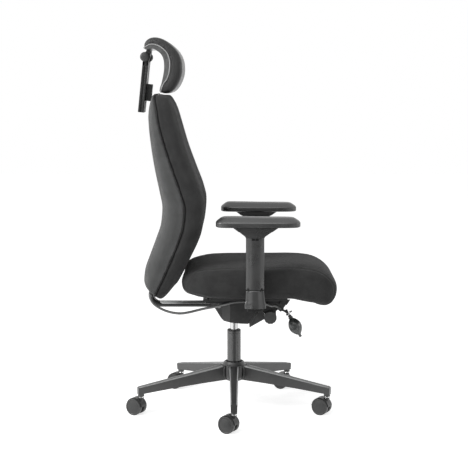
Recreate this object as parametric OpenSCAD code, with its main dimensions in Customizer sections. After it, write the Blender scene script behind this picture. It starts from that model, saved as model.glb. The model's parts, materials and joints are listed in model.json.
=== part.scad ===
// High back task chair on a five-leg swivel base, with headrest, height adjusting arms,
// air lumbar with a hand pump, sliding seat and reclining back.
// Millimetres. +Z is up, the chair faces -Y, and the origin is on the floor under the column.
// A distance named "front" is measured forward of the column axis, so its Y is negative.

/* [Base] */
// Height of the top of the base hub above the floor
hub_top = 165; // [150:1:190]
// Height of the bottom of the base hub above the floor
hub_bottom = 104; // [96:1:110]
// Radius of the hub
hub_r = 44; // [38:1:50]
// Distance from the column axis to each caster stem
stem_radius = 351; // [300:1:400]
// Leg length beyond the caster stem
leg_overhang = 12; // [11:0.5:20]
// Width of a leg where it leaves the hub
leg_root_w = 35; // [28:1:42]
// Width of a leg at its tip
leg_tip_w = 24; // [22:1:30]
// Height of the top of a leg at its tip
leg_tip_top = 101; // [95:1:108]
// Depth of a leg at its tip
leg_tip_depth = 26; // [18:1:30]
// Depth of a leg where it leaves the hub
leg_root_depth = 54; // [40:1:56]
// Height of the underside of the boss that holds a caster stem
boss_bottom = 68; // [66:1:72]

/* [Casters] */
// Diameter of a caster wheel
wheel_d = 60; // [54:1:62]
// Width of one of the two wheels
wheel_w = 19.5; // [12:0.5:22]
// Gap between the two wheels, where the frame stands
wheel_gap = 15; // [13:1:20]
// Distance from the swivel axis back to the wheel axis
caster_trail = 20; // [16:1:24]
// Diameter of the stem
stem_d = 11; // [9:0.5:12]
// Direction that the casters trail in, turned from straight back
caster_yaw = 27; // [-60:1:60]

/* [Column] */
// Outer diameter of the column's outer tube
tube_d = 50; // [46:1:54]
// Height of the top of the outer tube
tube_top = 288; // [270:1:300]
// Diameter of the gas cylinder that slides in it
cylinder_d = 28; // [26:0.5:30]
// Diameter of the piston rod
piston_d = 10; // [8:0.5:12]

/* [Mechanism] */
// Width of the mechanism housing
housing_w = 150; // [130:1:170]
// Length of the housing from its rear edge to its front edge
housing_l = 300; // [290:1:320]
// Depth of the housing
housing_h = 83; // [80:1:90]
// Wall thickness of the housing
housing_wall = 3; // [2:0.5:4]
// Height of the seat plate's underside, the top of the housing
plate_z = 408; // [400:1:415]
// Thickness of the seat plate
plate_t = 6; // [4:0.5:8]
// Width of the seat plate
plate_w = 250; // [230:1:256]
// Diameter of the recline pin
pivot_d = 12; // [10:0.5:14]
// Diameter of the tension knob
knob_d = 45; // [36:1:46]

/* [Seat] */
// Overall width of the seat cushion
seat_w = 486; // [460:1:490]
// Length of the seat cushion
seat_l = 550; // [520:1:580]
// Distance the seat cushion reaches behind the column axis
seat_rear = 187; // [175:1:190]
// Height of the seat cushion's crown above its flat underside
seat_h = 118; // [100:1:130]
// Depth that the front roll hangs below the underside
seat_lip = 33; // [20:1:40]
// Height of the seat pan's underside
pan_z = 424; // [422:1:430]
// Thickness of the seat pan
pan_t = 12; // [8:1:14]

/* [Back] */
// Height of the back
back_h = 724; // [680:4:760]
// Width of the back at its widest
back_w = 468; // [420:2:500]
// Height of the bottom of the back above the floor
back_z = 422; // [418:1:430]
// Distance from the column axis to the rearmost point of the back
back_rear = 317; // [312:1:330]
// Depth from the rearmost point of the back to its foremost point
back_sweep = 219; // [210:1:228]
// Gap between the rear cover and the front cushion, where the board shows as a dark line
reveal = 5; // [4:0.5:7]
// Width of the bar that carries the back
bar_w = 50; // [40:1:60]
// Depth of the bar that carries the back
bar_t = 21; // [18:1:24]
// Bend radius of the bar's centre line
bar_bend = 34; // [30:1:40]

/* [Headrest] */
// Width of the headrest
head_w = 270; // [230:2:300]
// Height of the headrest
head_h = 192; // [180:1:200]
// Depth of the headrest
head_depth = 140; // [130:1:150]
// Height of the headrest pivot above the top of the back
head_rise = 131; // [125:1:140]
// Distance of the headrest pivot behind the column axis
head_pivot_back = 310; // [306:1:316]
// Lean of the headrest post
post_lean = 6; // [3:0.5:8]
// Length of the headrest post below its pivot
post_l = 196; // [185:1:205]
// Width of the headrest post
post_w = 104; // [90:1:116]
// Depth of the headrest post
post_t = 21; // [19:1:24]

/* [Arms] */
// Distance from the side of the seat to the middle of an arm post
arm_out = 29; // [27:1:36]
// Distance of the arm posts forward of the column axis
arm_front = 72; // [60:1:80]
// Width of an arm post seen from the side
arm_w = 63; // [58:1:70]
// Thickness of an arm post across the chair
arm_t = 32; // [28:1:34]
// Height of the top of an arm pad
pad_top = 734; // [720:1:760]
// Length of an arm pad
pad_l = 288; // [260:1:300]
// Width of an arm pad
pad_w = 94; // [80:1:100]
// Height of the joint between an arm's socket and its sliding post
arm_joint_z = 481; // [470:1:495]

/* [Pump] */
// Diameter of the pump bulb
bulb_d = 47; // [38:1:50]
// Length of the pump bulb
bulb_l = 70; // [56:1:72]
// Diameter of the air hose
hose_d = 9; // [6:0.5:10]

/* [Hidden] */
$fn = 48;

// Small sizes shared by many pieces
overrun = 5;
seat_gap = 0.3;
fixed_fit = 0.05;
running_fit = 0.05;
slide_fit = 0.3;

// Colours
c_plastic = [0.16, 0.17, 0.17];
c_casting = [0.21, 0.23, 0.23];
c_fabric = [0.12, 0.12, 0.13];
c_panel = [0.25, 0.26, 0.27];
c_steel = [0.72, 0.73, 0.74];
c_chrome = [0.86, 0.87, 0.88];
c_tyre = [0.28, 0.28, 0.29];
c_hose = [0.55, 0.57, 0.57];
c_shell = [0.36, 0.38, 0.38];

// General shapes

// A number raised to a power with its sign kept
function bow(v, power) = sign(v) * pow(abs(v), power);
// A value between two others
function between(a, b, share) = a + (b - a) * share;

// A closed skin over a row of rings that all have the same number of points. Its ends are closed
// by fans, or by strips where each ring is a bent band: one side's points, then the other's back
module skin(rings, banded = false) {
  count = len(rings[0]);
  rows = len(rings);
  middle_first = [for (k = [0:2]) mean([for (p = rings[0]) p[k]])];
  middle_last = [for (k = [0:2]) mean([for (p = rings[rows - 1]) p[k]])];
  points = concat([for (ring = rings) each ring], [middle_first, middle_last]);
  sides = [
    for (i = [0:rows - 2], j = [0:count - 1])
    let (k = (j + 1) % count, a = i * count, b = a + count)
    each [[a + j, b + j, b + k], [a + j, b + k, a + k]]
  ];
  last = count * (rows - 1);
  fans = [
    for (j = [0:count - 1])
    let (k = (j + 1) % count)
    each [[count * rows, j, k], [count * rows + 1, last + k, last + j]]
  ];
  strips = [
    for (j = [0:count / 2 - 2])
    let (k = count - 1 - j)
    each [[j, j + 1, k - 1], [j, k - 1, k], [last + j + 1, last + j, last + k - 1],
      [last + k - 1, last + j, last + k]]
  ];
  polyhedron(
    banded ? [for (ring = rings) each ring] : points,
    concat(sides, banded ? strips : fans)
  );
}
function mean(list) = total(list, len(list) - 1) / len(list);
function total(list, i) = i < 0 ? 0 : list[i] + total(list, i - 1);

// A rod along X, centred on the middle of the chair or on x
module x_rod(d, l, x = 0) {
  translate([x, 0, 0])
    rotate([0, 90, 0])
      cylinder(d = d, h = l, center = true);
}
// An outline drawn as [front, height], given thickness along X about x
module x_plate(outline, t, x = 0) {
  translate([x + t / 2, 0, 0])
    rotate([90, 0, -90])
      linear_extrude(t)
        polygon(outline);
}
// A box from its least to its greatest [x, front, height]
module block(low, high) {
  translate([low[0], -high[1], low[2]])
    cube([high[0] - low[0], high[1] - low[1], high[2] - low[2]]);
}
// Moves a shape to a place in the side view
module at_side(front, height, x = 0) {
  translate([x, -front, height])
    children();
}

// Base
leg_count = 5;
leg_step = 360 / leg_count;
// The first leg points at the chair's right
first_leg = 180;
hub_taper = 14;
hub_root_r = hub_r - hub_taper;
hub_edge = 3;
collar_h = 9;
collar_step = 9;
leg_chamfer = 3;
leg_drop = 2;
leg_root_z = hub_top - leg_drop;
boss_d = 23;
sleeve_t = 1.5;
sleeve_inset = 6;
sleeve_top = leg_tip_top - sleeve_inset;
sleeve_d = stem_d + 2 * (running_fit + sleeve_t);

// One ring of a leg's skin, at a distance from the column axis
function leg_ring(r, w, top, depth) = [
  [r, -w / 2 + leg_chamfer, top],
  [r, -w / 2, top - leg_chamfer],
  [r, -w / 2 + leg_chamfer / 2, top - depth],
  [r, w / 2 - leg_chamfer / 2, top - depth],
  [r, w / 2, top - leg_chamfer],
  [r, w / 2 - leg_chamfer, top]
];
// The leg's sections, as [share of its length, share of its taper]
leg_shares = [[0, 0], [0.3, 0.38], [0.65, 0.74], [0.93, 0.96], [1, 1]];
leg_root_r = hub_r / 2;
leg_end = stem_radius + leg_overhang;
leg_rings = [
  for (s = leg_shares)
  leg_ring(
    between(leg_root_r, leg_end, s[0]),
    between(leg_root_w, leg_tip_w, s[1]),
    between(leg_root_z, leg_tip_top, s[0]),
    between(leg_root_depth, leg_tip_depth, s[1])
  )
];

module around_legs() {
  for (i = [0:leg_count - 1])
    rotate([0, 0, first_leg + i * leg_step])
      children();
}
module star_base() {
  color(c_casting)
    difference() {
      union() {
        rotate_extrude()
          polygon([
            [0, hub_bottom], [hub_root_r, hub_bottom], [hub_r, hub_bottom + hub_r - hub_root_r],
            [hub_r, hub_top - hub_edge], [hub_r - hub_edge, hub_top],
            [hub_r - collar_step, hub_top + collar_h], [0, hub_top + collar_h]
          ]);
        around_legs() {
          skin(leg_rings);
          translate([stem_radius, 0, boss_bottom])
            cylinder(d = boss_d, h = leg_tip_top - leg_tip_depth / 2 - boss_bottom);
        }
      }
      translate([0, 0, hub_bottom - overrun])
        cylinder(d = tube_d + 2 * fixed_fit, h = hub_top + collar_h - hub_bottom + 2 * overrun);
      around_legs()
        translate([stem_radius, 0, boss_bottom - overrun])
          cylinder(d = sleeve_d + 2 * fixed_fit, h = sleeve_top - boss_bottom + overrun);
    }
}
module caster_sleeves() {
  color(c_steel)
    around_legs()
      translate([stem_radius, 0, boss_bottom])
        difference() {
          cylinder(d = sleeve_d, h = sleeve_top - boss_bottom - seat_gap);
          translate([0, 0, -overrun])
            cylinder(d = stem_d + 2 * running_fit, h = sleeve_top - boss_bottom + 2 * overrun);
        }
}

// Column
tube_wall = 2;
tube_below = 2;
tube_bottom = hub_bottom - tube_below;
clip_t = 3;
clip_d = 32;
floor_t = 3;
bearing_t = 6;
bearing_d = 26;
bush_l = 40;
bush_lip = 2;
rod_bottom = tube_bottom - clip_t;
// Lowest and highest travel of the gas lift from where it stands
lift_down = 20;
lift_up = 80;
lift_spare = 8;
cylinder_bottom = tube_bottom + floor_t + bearing_t + lift_down + lift_spare;
cylinder_inset = 14;
cylinder_top = plate_z - cylinder_inset;
cylinder_wall = 2;
gland_t = 10;
piston_t = 12;
piston_spare = 6;
piston_top = cylinder_bottom + lift_up + gland_t + piston_t + piston_spare;
rod_hole = piston_d + 2 * running_fit;

module column_tube() {
  color(c_casting)
    difference() {
      translate([0, 0, tube_bottom])
        cylinder(d = tube_d, h = tube_top - tube_bottom);
      translate([0, 0, tube_bottom + floor_t])
        cylinder(d = tube_d - 2 * tube_wall, h = tube_top - tube_bottom);
      translate([0, 0, tube_bottom - overrun])
        cylinder(d = rod_hole, h = floor_t + 2 * overrun);
    }
}
module guide_bush() {
  color(c_plastic)
    difference() {
      union() {
        translate([0, 0, tube_top - bush_l])
          cylinder(d = tube_d - 2 * tube_wall - 2 * fixed_fit, h = bush_l + bush_lip);
        translate([0, 0, tube_top + fixed_fit])
          cylinder(d = tube_d - tube_wall, h = bush_lip - fixed_fit);
      }
      translate([0, 0, tube_top - bush_l - overrun])
        cylinder(d = cylinder_d + 2 * running_fit, h = bush_l + bush_lip + 2 * overrun);
    }
}
module thrust_bearing() {
  color(c_steel)
    translate([0, 0, tube_bottom + floor_t + fixed_fit])
      difference() {
        cylinder(d = bearing_d, h = bearing_t - 2 * fixed_fit);
        translate([0, 0, -overrun])
          cylinder(d = rod_hole, h = bearing_t + 2 * overrun);
        rotate_extrude()
          translate([bearing_d / 2, bearing_t / 2 - fixed_fit])
            circle(d = bearing_t / 3);
      }
}
module retaining_clip() {
  color(c_steel)
    translate([0, 0, rod_bottom])
      difference() {
        cylinder(d = clip_d, h = clip_t - fixed_fit);
        translate([0, 0, -overrun])
          cylinder(d = rod_hole, h = clip_t + 2 * overrun);
      }
}
module piston_rod() {
  color(c_chrome) {
    translate([0, 0, rod_bottom])
      cylinder(d = piston_d, h = piston_top - rod_bottom);
    translate([0, 0, piston_top - piston_t])
      cylinder(d = cylinder_d - 2 * cylinder_wall - 2 * running_fit, h = piston_t);
  }
}
module gas_cylinder() {
  color(c_chrome)
    difference() {
      translate([0, 0, cylinder_bottom])
        cylinder(d = cylinder_d, h = cylinder_top - cylinder_bottom);
      translate([0, 0, cylinder_bottom - overrun])
        cylinder(d = rod_hole, h = gland_t + 2 * overrun);
      translate([0, 0, cylinder_bottom + gland_t])
        cylinder(d = cylinder_d - 2 * cylinder_wall,
          h = cylinder_top - cylinder_bottom - gland_t - cylinder_wall);
    }
}

// Casters
axle_z = wheel_d / 2;
axle_d = 8;
axle_boss_d = 16;
fender_gap = 1;
fender_t = 2;
fender_r = axle_z + fender_gap + fender_t;
caster_w = 2 * wheel_w + wheel_gap;
// The hood covers the inner part of both wheels
fender_w = wheel_gap + wheel_w;
fender_drop = 2;
web_gap = 1;
web_t = wheel_gap - 2 * web_gap;
web_inset = 7;
flange_d = 17;
flange_top_d = 14;
hood_collar_d = 19;
hood_collar_t = 4;
hood_inset = 4.5;
hood_top = boss_bottom - hood_inset;
stem_inset = 4;
stem_top = sleeve_top - stem_inset;
stem_seat = 14;
stem_bottom = hood_top - stem_seat;
hood_floor = 2;
wheel_edge = 2.5;
rim_inset = 6;
rim_step = 1.2;
// The wheel's face bulges outward: shares of its radius and of its dome
dome_shares = [[1, 0], [0.75, 0.45], [0.5, 0.75], [0.25, 0.93], [0, 1]];
dome_h = 3.5;

// Places a caster that is drawn with its stem on the Z axis and its wheels trailing towards +Y
module caster_at(i) {
  rotate([0, 0, first_leg + i * leg_step])
    translate([stem_radius, 0, 0])
      rotate([0, 0, -first_leg - i * leg_step - caster_yaw])
        children();
}
module caster_stem() {
  color(c_chrome) {
    translate([0, 0, stem_bottom])
      cylinder(d = stem_d, h = stem_top - stem_bottom);
    translate([0, 0, hood_top + fixed_fit])
      cylinder(d1 = flange_d, d2 = flange_top_d, h = boss_bottom - hood_top - fixed_fit - seat_gap);
  }
}
module caster_hood() {
  color(c_plastic)
    difference() {
      union() {
        difference() {
          translate([0, caster_trail, axle_z])
            x_rod(2 * fender_r, fender_w);
          for (side = [-1, 1])
            translate([side * (web_t + fender_w) / 2, caster_trail, axle_z])
              x_rod(2 * (fender_r - fender_t), fender_w);
          block([-caster_w, -caster_trail - wheel_d, -overrun],
            [caster_w, -caster_trail + wheel_d, axle_z + fender_drop]);
        }
        translate([0, caster_trail, axle_z])
          x_rod(wheel_d - 2 * web_inset, web_t);
        translate([0, 0, stem_bottom - hood_floor])
          cylinder(d = web_t, h = hood_top - stem_bottom + hood_floor);
        block([-web_t / 2, -caster_trail, stem_bottom - hood_floor],
          [web_t / 2, 0, hood_top - hood_floor]);
        translate([0, 0, hood_top - hood_collar_t])
          cylinder(d = hood_collar_d, h = hood_collar_t);
      }
      translate([0, 0, stem_bottom])
        cylinder(d = stem_d + 2 * fixed_fit, h = hood_top);
      translate([0, caster_trail, axle_z])
        x_rod(axle_d + 2 * running_fit, caster_w);
    }
}
module caster_wheels() {
  rim = axle_z - rim_inset;
  dome_foot = wheel_w - dome_h;
  color(c_tyre)
    translate([0, caster_trail, axle_z]) {
      for (side = [-1, 1])
        scale([side, 1, 1])
          rotate([0, 90, 0])
            translate([0, 0, wheel_gap / 2])
              rotate_extrude()
                polygon([
                  [0, 0], [axle_z - wheel_edge, 0], [axle_z, wheel_edge],
                  [axle_z, dome_foot - wheel_edge / 2], [axle_z - wheel_edge / 2, dome_foot + rim_step],
                  [rim + rim_step, dome_foot + rim_step],
                  for (d = dome_shares) [rim * d[0], dome_foot + dome_h * d[1]]
                ]);
      x_rod(axle_d, wheel_gap + wheel_w);
    }
}

// Mechanism
// The housing's side outline, as shares of its length from the rear and of its depth
housing_shares = [
  [0, 1], [0.03, 0.95], [0.12, 0.78], [0.22, 0.2], [0.25, 0.1], [0.35, 0.05], [0.45, 0.01],
  [0.54, 0], [0.6, 0.13], [0.71, 0.45], [0.87, 0.55], [0.95, 0.75], [1, 1]
];
housing_rear = -112;
top_gap = 0.1;
housing_outline = [
  for (s = housing_shares)
  [housing_rear + s[0] * housing_l, plate_z - housing_h * (1 - s[1]) - top_gap]
];
pivot_front = -54;
pivot_drop = 18;
pivot_z = plate_z - pivot_drop;
pin_proud = 1.5;
barrel_d = 28;
spring_wire = 4;
spring_turns = 4;
spring_room = 6;
barrel_w = housing_w - 2 * (housing_wall + spring_turns * spring_wire + spring_room);
// The bar runs lower than its pin
bar_drop = 4;
bar_z = pivot_z - bar_drop;
// How far the back reclines
recline_angle = 20;
slot_play = 3;
slot_low = bar_z - bar_t - (pivot_front - housing_rear) * sin(recline_angle) - slot_play;
socket_wall = 6;
socket_inset = 6;
socket_top = cylinder_top - socket_inset;
lever_front = 95;
lever_drop = 22;
lever_z = plate_z - lever_drop;
lever_rod_d = 8;
knob_front = 130;
knob_drop = 56;
knob_z = plate_z - knob_drop;
knob_t = 20;
knob_flutes = 12;
flute_d = 4;
flute_depth = 1;
tongue_w = 42;
tongue_t = 6;
spindle_d = 8;
spindle_seat = 18;
tongue_x = -housing_w / 2 - tongue_t / 2;

module mechanism_housing() {
  color(c_plastic)
    difference() {
      union() {
        difference() {
          x_plate(housing_outline, housing_w);
          x_plate(
            [
              for (p = housing_outline)
              [
                p[0] < 0 ? p[0] + housing_wall : p[0] > lever_front ? p[0] - housing_wall : p[0],
                p[1] + housing_wall
              ]
            ],
            housing_w - 2 * housing_wall
          );
        }
        intersection() {
          translate([0, 0, plate_z - housing_h])
            cylinder(d = cylinder_d + 2 * socket_wall, h = socket_top - plate_z + housing_h);
          x_plate(housing_outline, housing_w);
        }
        tension_tongue();
      }
      translate([0, 0, plate_z - housing_h - overrun])
        cylinder(d = cylinder_d + 2 * fixed_fit, h = housing_h + 2 * overrun);
      at_side(pivot_front, pivot_z)
        x_rod(pivot_d + 2 * fixed_fit, housing_w + 2 * overrun);
      at_side(lever_front, lever_z)
        x_rod(lever_rod_d + 2 * running_fit, housing_w, -housing_w / 2);
      at_side(knob_front, knob_z)
        x_rod(spindle_d + 2 * running_fit, housing_w, -housing_w / 2);
      block(
        [-bar_w / 2 - slot_play, housing_rear - overrun, slot_low],
        [bar_w / 2 + slot_play, pivot_front, pivot_z + bar_t / 2 + slot_play / 2]
      );
    }
}
// The ear on the housing's right side that carries the knob's spindle
module tension_tongue() {
  at_side(knob_front, knob_z)
    x_rod(tongue_w, tongue_t, tongue_x);
  block(
    [tongue_x - tongue_t / 2, knob_front - tongue_w / 2, knob_z],
    [tongue_x + tongue_t / 2, knob_front + tongue_w / 2, plate_z - tongue_t]
  );
}
plate_rear = -100;
plate_front = 192;
rail_inset = 5;
rail_x = 92;
rail_w = 14;
rail_h = pan_z - plate_z - plate_t - seat_gap - fixed_fit;
rail_lip = 5;
rail_lip_t = 3;
module seat_plate() {
  color(c_casting)
    block([-plate_w / 2, plate_rear, plate_z], [plate_w / 2, plate_front, plate_z + plate_t]);
}
// Two T-shaped rails that the seat pan's channels run on
module seat_rails() {
  color(c_plastic)
    for (side = [-1, 1])
      translate([side * rail_x, -plate_rear - rail_inset, plate_z + plate_t + fixed_fit])
        rotate([90, 0, 0])
          linear_extrude(plate_front - plate_rear - 2 * rail_inset)
            polygon([
              [-rail_w / 2 + rail_lip / 2, 0], [rail_w / 2 - rail_lip / 2, 0],
              [rail_w / 2 - rail_lip / 2, rail_h - rail_lip_t], [rail_w / 2, rail_h - rail_lip_t],
              [rail_w / 2, rail_h], [-rail_w / 2, rail_h],
              [-rail_w / 2, rail_h - rail_lip_t], [-rail_w / 2 + rail_lip / 2, rail_h - rail_lip_t]
            ]);
}
module recline_pin() {
  color(c_steel)
    at_side(pivot_front, pivot_z)
      x_rod(pivot_d, housing_w + 2 * pin_proud);
}
// Two coil springs on the pin, beside the bar's barrel, that push the back upright
spring_in_d = pivot_d + 2 * slide_fit;
module recline_springs() {
  color(c_steel)
    at_side(pivot_front, pivot_z)
      for (side = [-1, 1])
        translate([side * (barrel_w / 2 + slide_fit), 0, 0])
          rotate([0, side * 90, 0])
            rotate_extrude() {
              for (i = [0:spring_turns - 1])
                translate([(spring_in_d + spring_wire) / 2, (i + 0.5) * spring_wire])
                  circle(d = spring_wire);
              translate([(spring_in_d + spring_wire / 2) / 2, 0])
                square([spring_wire / 2, spring_turns * spring_wire]);
            }
}
// The flat paddle that lifts the seat, on a rod through the housing's right wall
paddle_in = 135;
paddle_out = 216;
paddle_drop = 47;
paddle_reach = 40;
paddle_root_t = 19;
paddle_tip_t = 3;
lever_in = 22;
lever_lap = 5;
module height_lever() {
  color(c_plastic) {
    at_side(lever_front, lever_z)
      x_rod(lever_rod_d, paddle_in + lever_lap - housing_w / 2 + lever_in,
        -(paddle_in + lever_lap + housing_w / 2 - lever_in) / 2);
    at_side(lever_front, lever_z)
      x_plate(
        [
          [-paddle_root_t / 2, paddle_root_t / 2], [paddle_root_t / 3, paddle_root_t / 2],
          [paddle_root_t * 2 / 3, -paddle_root_t * 5 / 6],
          [paddle_tip_t - paddle_reach, -paddle_drop + paddle_tip_t],
          [-paddle_reach, -paddle_drop], [-paddle_reach - paddle_tip_t / 2, -paddle_drop + paddle_tip_t]
        ],
        paddle_out - paddle_in,
        -(paddle_in + paddle_out) / 2
      );
  }
}
knob_in = tongue_x - tongue_t / 2 - seat_gap;
module tension_knob() {
  color(c_casting)
    at_side(knob_front, knob_z)
      difference() {
        x_rod(knob_d, knob_t, knob_in - knob_t / 2);
        x_rod(spindle_d + 2 * fixed_fit, 2 * spindle_seat, knob_in);
        for (i = [0:knob_flutes - 1])
          rotate([i * 360 / knob_flutes, 0, 0])
            translate([knob_in - knob_t, 0, knob_d / 2 + flute_depth])
              x_rod(flute_d, knob_t);
      }
}
module tension_spindle() {
  spindle_l = spindle_seat - fixed_fit + seat_gap + tongue_t + housing_wall;
  color(c_steel)
    at_side(knob_front, knob_z)
      x_rod(spindle_d, spindle_l, knob_in - spindle_seat + fixed_fit + spindle_l / 2);
}

// Arms, drawn on the chair's right side and mirrored for the left
arm_x = seat_w / 2 + arm_out;
bracket_w = 52;
bracket_t = 6;
bracket_top = 470;
bracket_x = arm_x - arm_t / 2 - seat_gap;
socket_bottom = 415;
socket_flare = 4;
socket_flare_h = 13;
upright_w = 46;
upright_t = 12;
upright_top = 640;
post_foot = arm_joint_z + seat_gap;
pad_h = 35;
post_top = pad_top - pad_h - slide_fit;
yoke_h = 34;
yoke_z = post_top - yoke_h;
yoke_w = 160;
yoke_shoulder = 1;
yoke_lip = 5;
yoke_t = arm_t + 2 * yoke_lip;
yoke_front = 2;
button_w = 25;
button_h = 24;
button_z = 665;
button_t = 4.5;
button_travel = 3;
groove_w = 27;
groove_t = 2;
pad_offset = 10;
// The left arm stands further forward than the right one
left_arm_shift = 12;

module mirrored(side) {
  scale([side, 1, 1])
    children();
}
module left_arm() {
  at_side(left_arm_shift, 0)
    mirrored(-1)
      children();
}
module arm_bracket() {
  top = plate_z - top_gap;
  color(c_casting) {
    block([-bracket_x, arm_front - bracket_w / 2, top - bracket_t],
      [-housing_w / 2 - seat_gap, arm_front + bracket_w / 2, top]);
    block([-bracket_x, arm_front - bracket_w / 2, top - bracket_t],
      [-bracket_x + bracket_t, arm_front + bracket_w / 2, bracket_top]);
  }
}
module arm_socket() {
  low = socket_bottom;
  half = arm_w / 2;
  color(c_plastic) {
    x_plate(
      [
        [arm_front - half - socket_flare, low + socket_flare_h],
        [arm_front - half - socket_flare / 2, low],
        [arm_front + half + socket_flare / 2, low],
        [arm_front + half + 1.5 * socket_flare, low + socket_flare_h],
        [arm_front + half, arm_joint_z], [arm_front - half, arm_joint_z]
      ],
      arm_t, -arm_x
    );
    block([-arm_x - upright_t / 2, arm_front - upright_w / 2, low],
      [-arm_x + upright_t / 2, arm_front + upright_w / 2, upright_top]);
  }
}
module arm_post() {
  half = arm_w / 2;
  face = -arm_x - arm_t / 2;
  color(c_plastic)
    difference() {
      union() {
        block([face, arm_front - half, post_foot], [face + arm_t, arm_front + half, post_top]);
        x_plate(
          [
            [arm_front - half - yoke_shoulder, yoke_z], [arm_front + half + 2 * yoke_shoulder, yoke_z],
            [arm_front + yoke_front + yoke_w / 2, post_top],
            [arm_front + yoke_front - yoke_w / 2, post_top]
          ],
          yoke_t, -arm_x
        );
      }
      block([-arm_x - upright_t / 2 - slide_fit, arm_front - upright_w / 2 - slide_fit,
          post_foot - overrun],
        [-arm_x + upright_t / 2 + slide_fit, arm_front + upright_w / 2 + slide_fit,
          upright_top + slide_fit]);
      block([face - overrun, arm_front - groove_w / 2, post_foot - overrun],
        [face + groove_t, arm_front + groove_w / 2, yoke_z - slide_fit]);
      block([face - overrun, arm_front - button_w / 2 - slide_fit, button_z - button_h / 2 - slide_fit],
        [face + groove_t + button_t + button_travel,
          arm_front + button_w / 2 + slide_fit, button_z + button_h / 2 + slide_fit]);
    }
}
module arm_button() {
  color(c_casting)
    block([-arm_x - arm_t / 2, arm_front - button_w / 2, button_z - button_h / 2],
      [-arm_x - arm_t / 2 + groove_t + button_t, arm_front + button_w / 2, button_z + button_h / 2]);
}
// A soft pad on a flat base, with rounded ends and a shallow dish
pad_shares = [
  // [share of the height, inset of the outline as a share of the pad's height]
  [0, 0.28], [0.08, 0.07], [0.18, 0], [0.4, 0], [0.52, 0.1], [0.72, 0.34], [0.88, 0.56], [0.97, 0.74], [1, 0.95]
];
pad_side_power = 0.55;
pad_end_power = 0.36;
pad_points = 32;
function pad_ring(z, inset) = [
  for (i = [0:pad_points - 1])
  let (a = 360 * i / pad_points)
  [
    (pad_w / 2 - inset) * bow(cos(a), pad_side_power),
    (pad_l / 2 - inset) * bow(sin(a), pad_end_power),
    z
  ]
];
module arm_pad() {
  low = post_top + slide_fit;
  color(c_fabric)
    at_side(arm_front + pad_offset, 0, -arm_x)
      skin([for (s = pad_shares) pad_ring(between(low, pad_top, s[0]), pad_h * s[1])]);
}

// Pump for the air lumbar
pump_x = -108;
valve_front = 193;
valve_z = 371;
valve_d = 13;
pump_lean = 28;
cross_l = 24;
cross_d = 9;
cross_wall = 1.5;
button_pin_d = cross_d - 2 * cross_wall;
release_travel = 2;
neck_l = 6;
neck_d = 13;
nipple_d = 10;
nipple_l = 8;
bulb_power = 0.66;
bulb_steps = 12;
// The stub that carries the hose rises to the rear, and the strap's eye holds it
stub_rise = 30;
stub_d = hose_d;
stub_l = 30;
eye_d = 15;
eye_from = 10;
eye_l = 14;
strap_t = 6;
strap_top_w = 34;
strap_off = 6;
strap_from = 6;
strap_foot_l = 24;

// Turns a shape that is drawn along -Z to hang from the valve, leaning forward
module pump_axis_at(lean) {
  at_side(valve_front, valve_z, pump_x)
    rotate([-lean, 0, 0])
      children();
}
// Places a rod along the stub, from one distance to another
module stub_rod(d, from, to) {
  pump_axis_at(-stub_rise)
    translate([0, from, 0])
      rotate([-90, 0, 0])
        cylinder(d = d, h = to - from);
}
// A point above the stub, as [front, height]
function stub_point(along, off) = [
  valve_front - along * cos(stub_rise) + off * sin(stub_rise),
  valve_z + along * sin(stub_rise) + off * cos(stub_rise)
];
module pump_bracket() {
  top = plate_z - top_gap;
  color(c_plastic)
    difference() {
      union() {
        x_plate(
          [
            stub_point(strap_from + strap_foot_l, strap_off), stub_point(strap_from, strap_off),
            [plate_front, top], [plate_front - strap_top_w, top]
          ],
          strap_t, pump_x
        );
        stub_rod(eye_d, eye_from, eye_from + eye_l);
      }
      stub_rod(stub_d + 2 * fixed_fit, 0, stub_l + overrun);
    }
}
module pump_valve() {
  color(c_plastic)
    difference() {
      union() {
        pump_axis_at(pump_lean) {
          translate([0, 0, -valve_d])
            cylinder(d = valve_d, h = 1.5 * valve_d);
          rotate([90, 0, 0])
            cylinder(d = cross_d, h = cross_l, center = true);
        }
        stub_rod(stub_d, 0, stub_l);
      }
      pump_axis_at(pump_lean)
        translate([0, -cross_l / 2 - overrun, 0])
          rotate([-90, 0, 0])
            cylinder(d = button_pin_d + 2 * running_fit, h = cross_l / 2 + overrun);
    }
}
module release_button() {
  color(c_chrome)
    pump_axis_at(pump_lean)
      translate([0, -cross_l / 2 - release_travel - cross_wall, 0])
        rotate([-90, 0, 0])
          cylinder(d = button_pin_d, h = cross_l / 2 - cross_wall);
}
module pump_bulb() {
  color(c_casting)
    pump_axis_at(pump_lean)
      translate([0, 0, -valve_d - fixed_fit - neck_l - bulb_l - nipple_l])
        rotate_extrude()
          polygon([
            [0, 0], [nipple_d / 2, 0], [nipple_d / 2, nipple_l],
            for (i = [1:bulb_steps - 1])
              let (t = i / bulb_steps)
              [max(nipple_d / 2, bulb_d / 2 * pow(sin(180 * t), bulb_power)), nipple_l + bulb_l * t],
            [neck_d / 2, nipple_l + bulb_l], [neck_d / 2, nipple_l + bulb_l + neck_l],
            [0, nipple_l + bulb_l + neck_l]
          ]);
}
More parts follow.
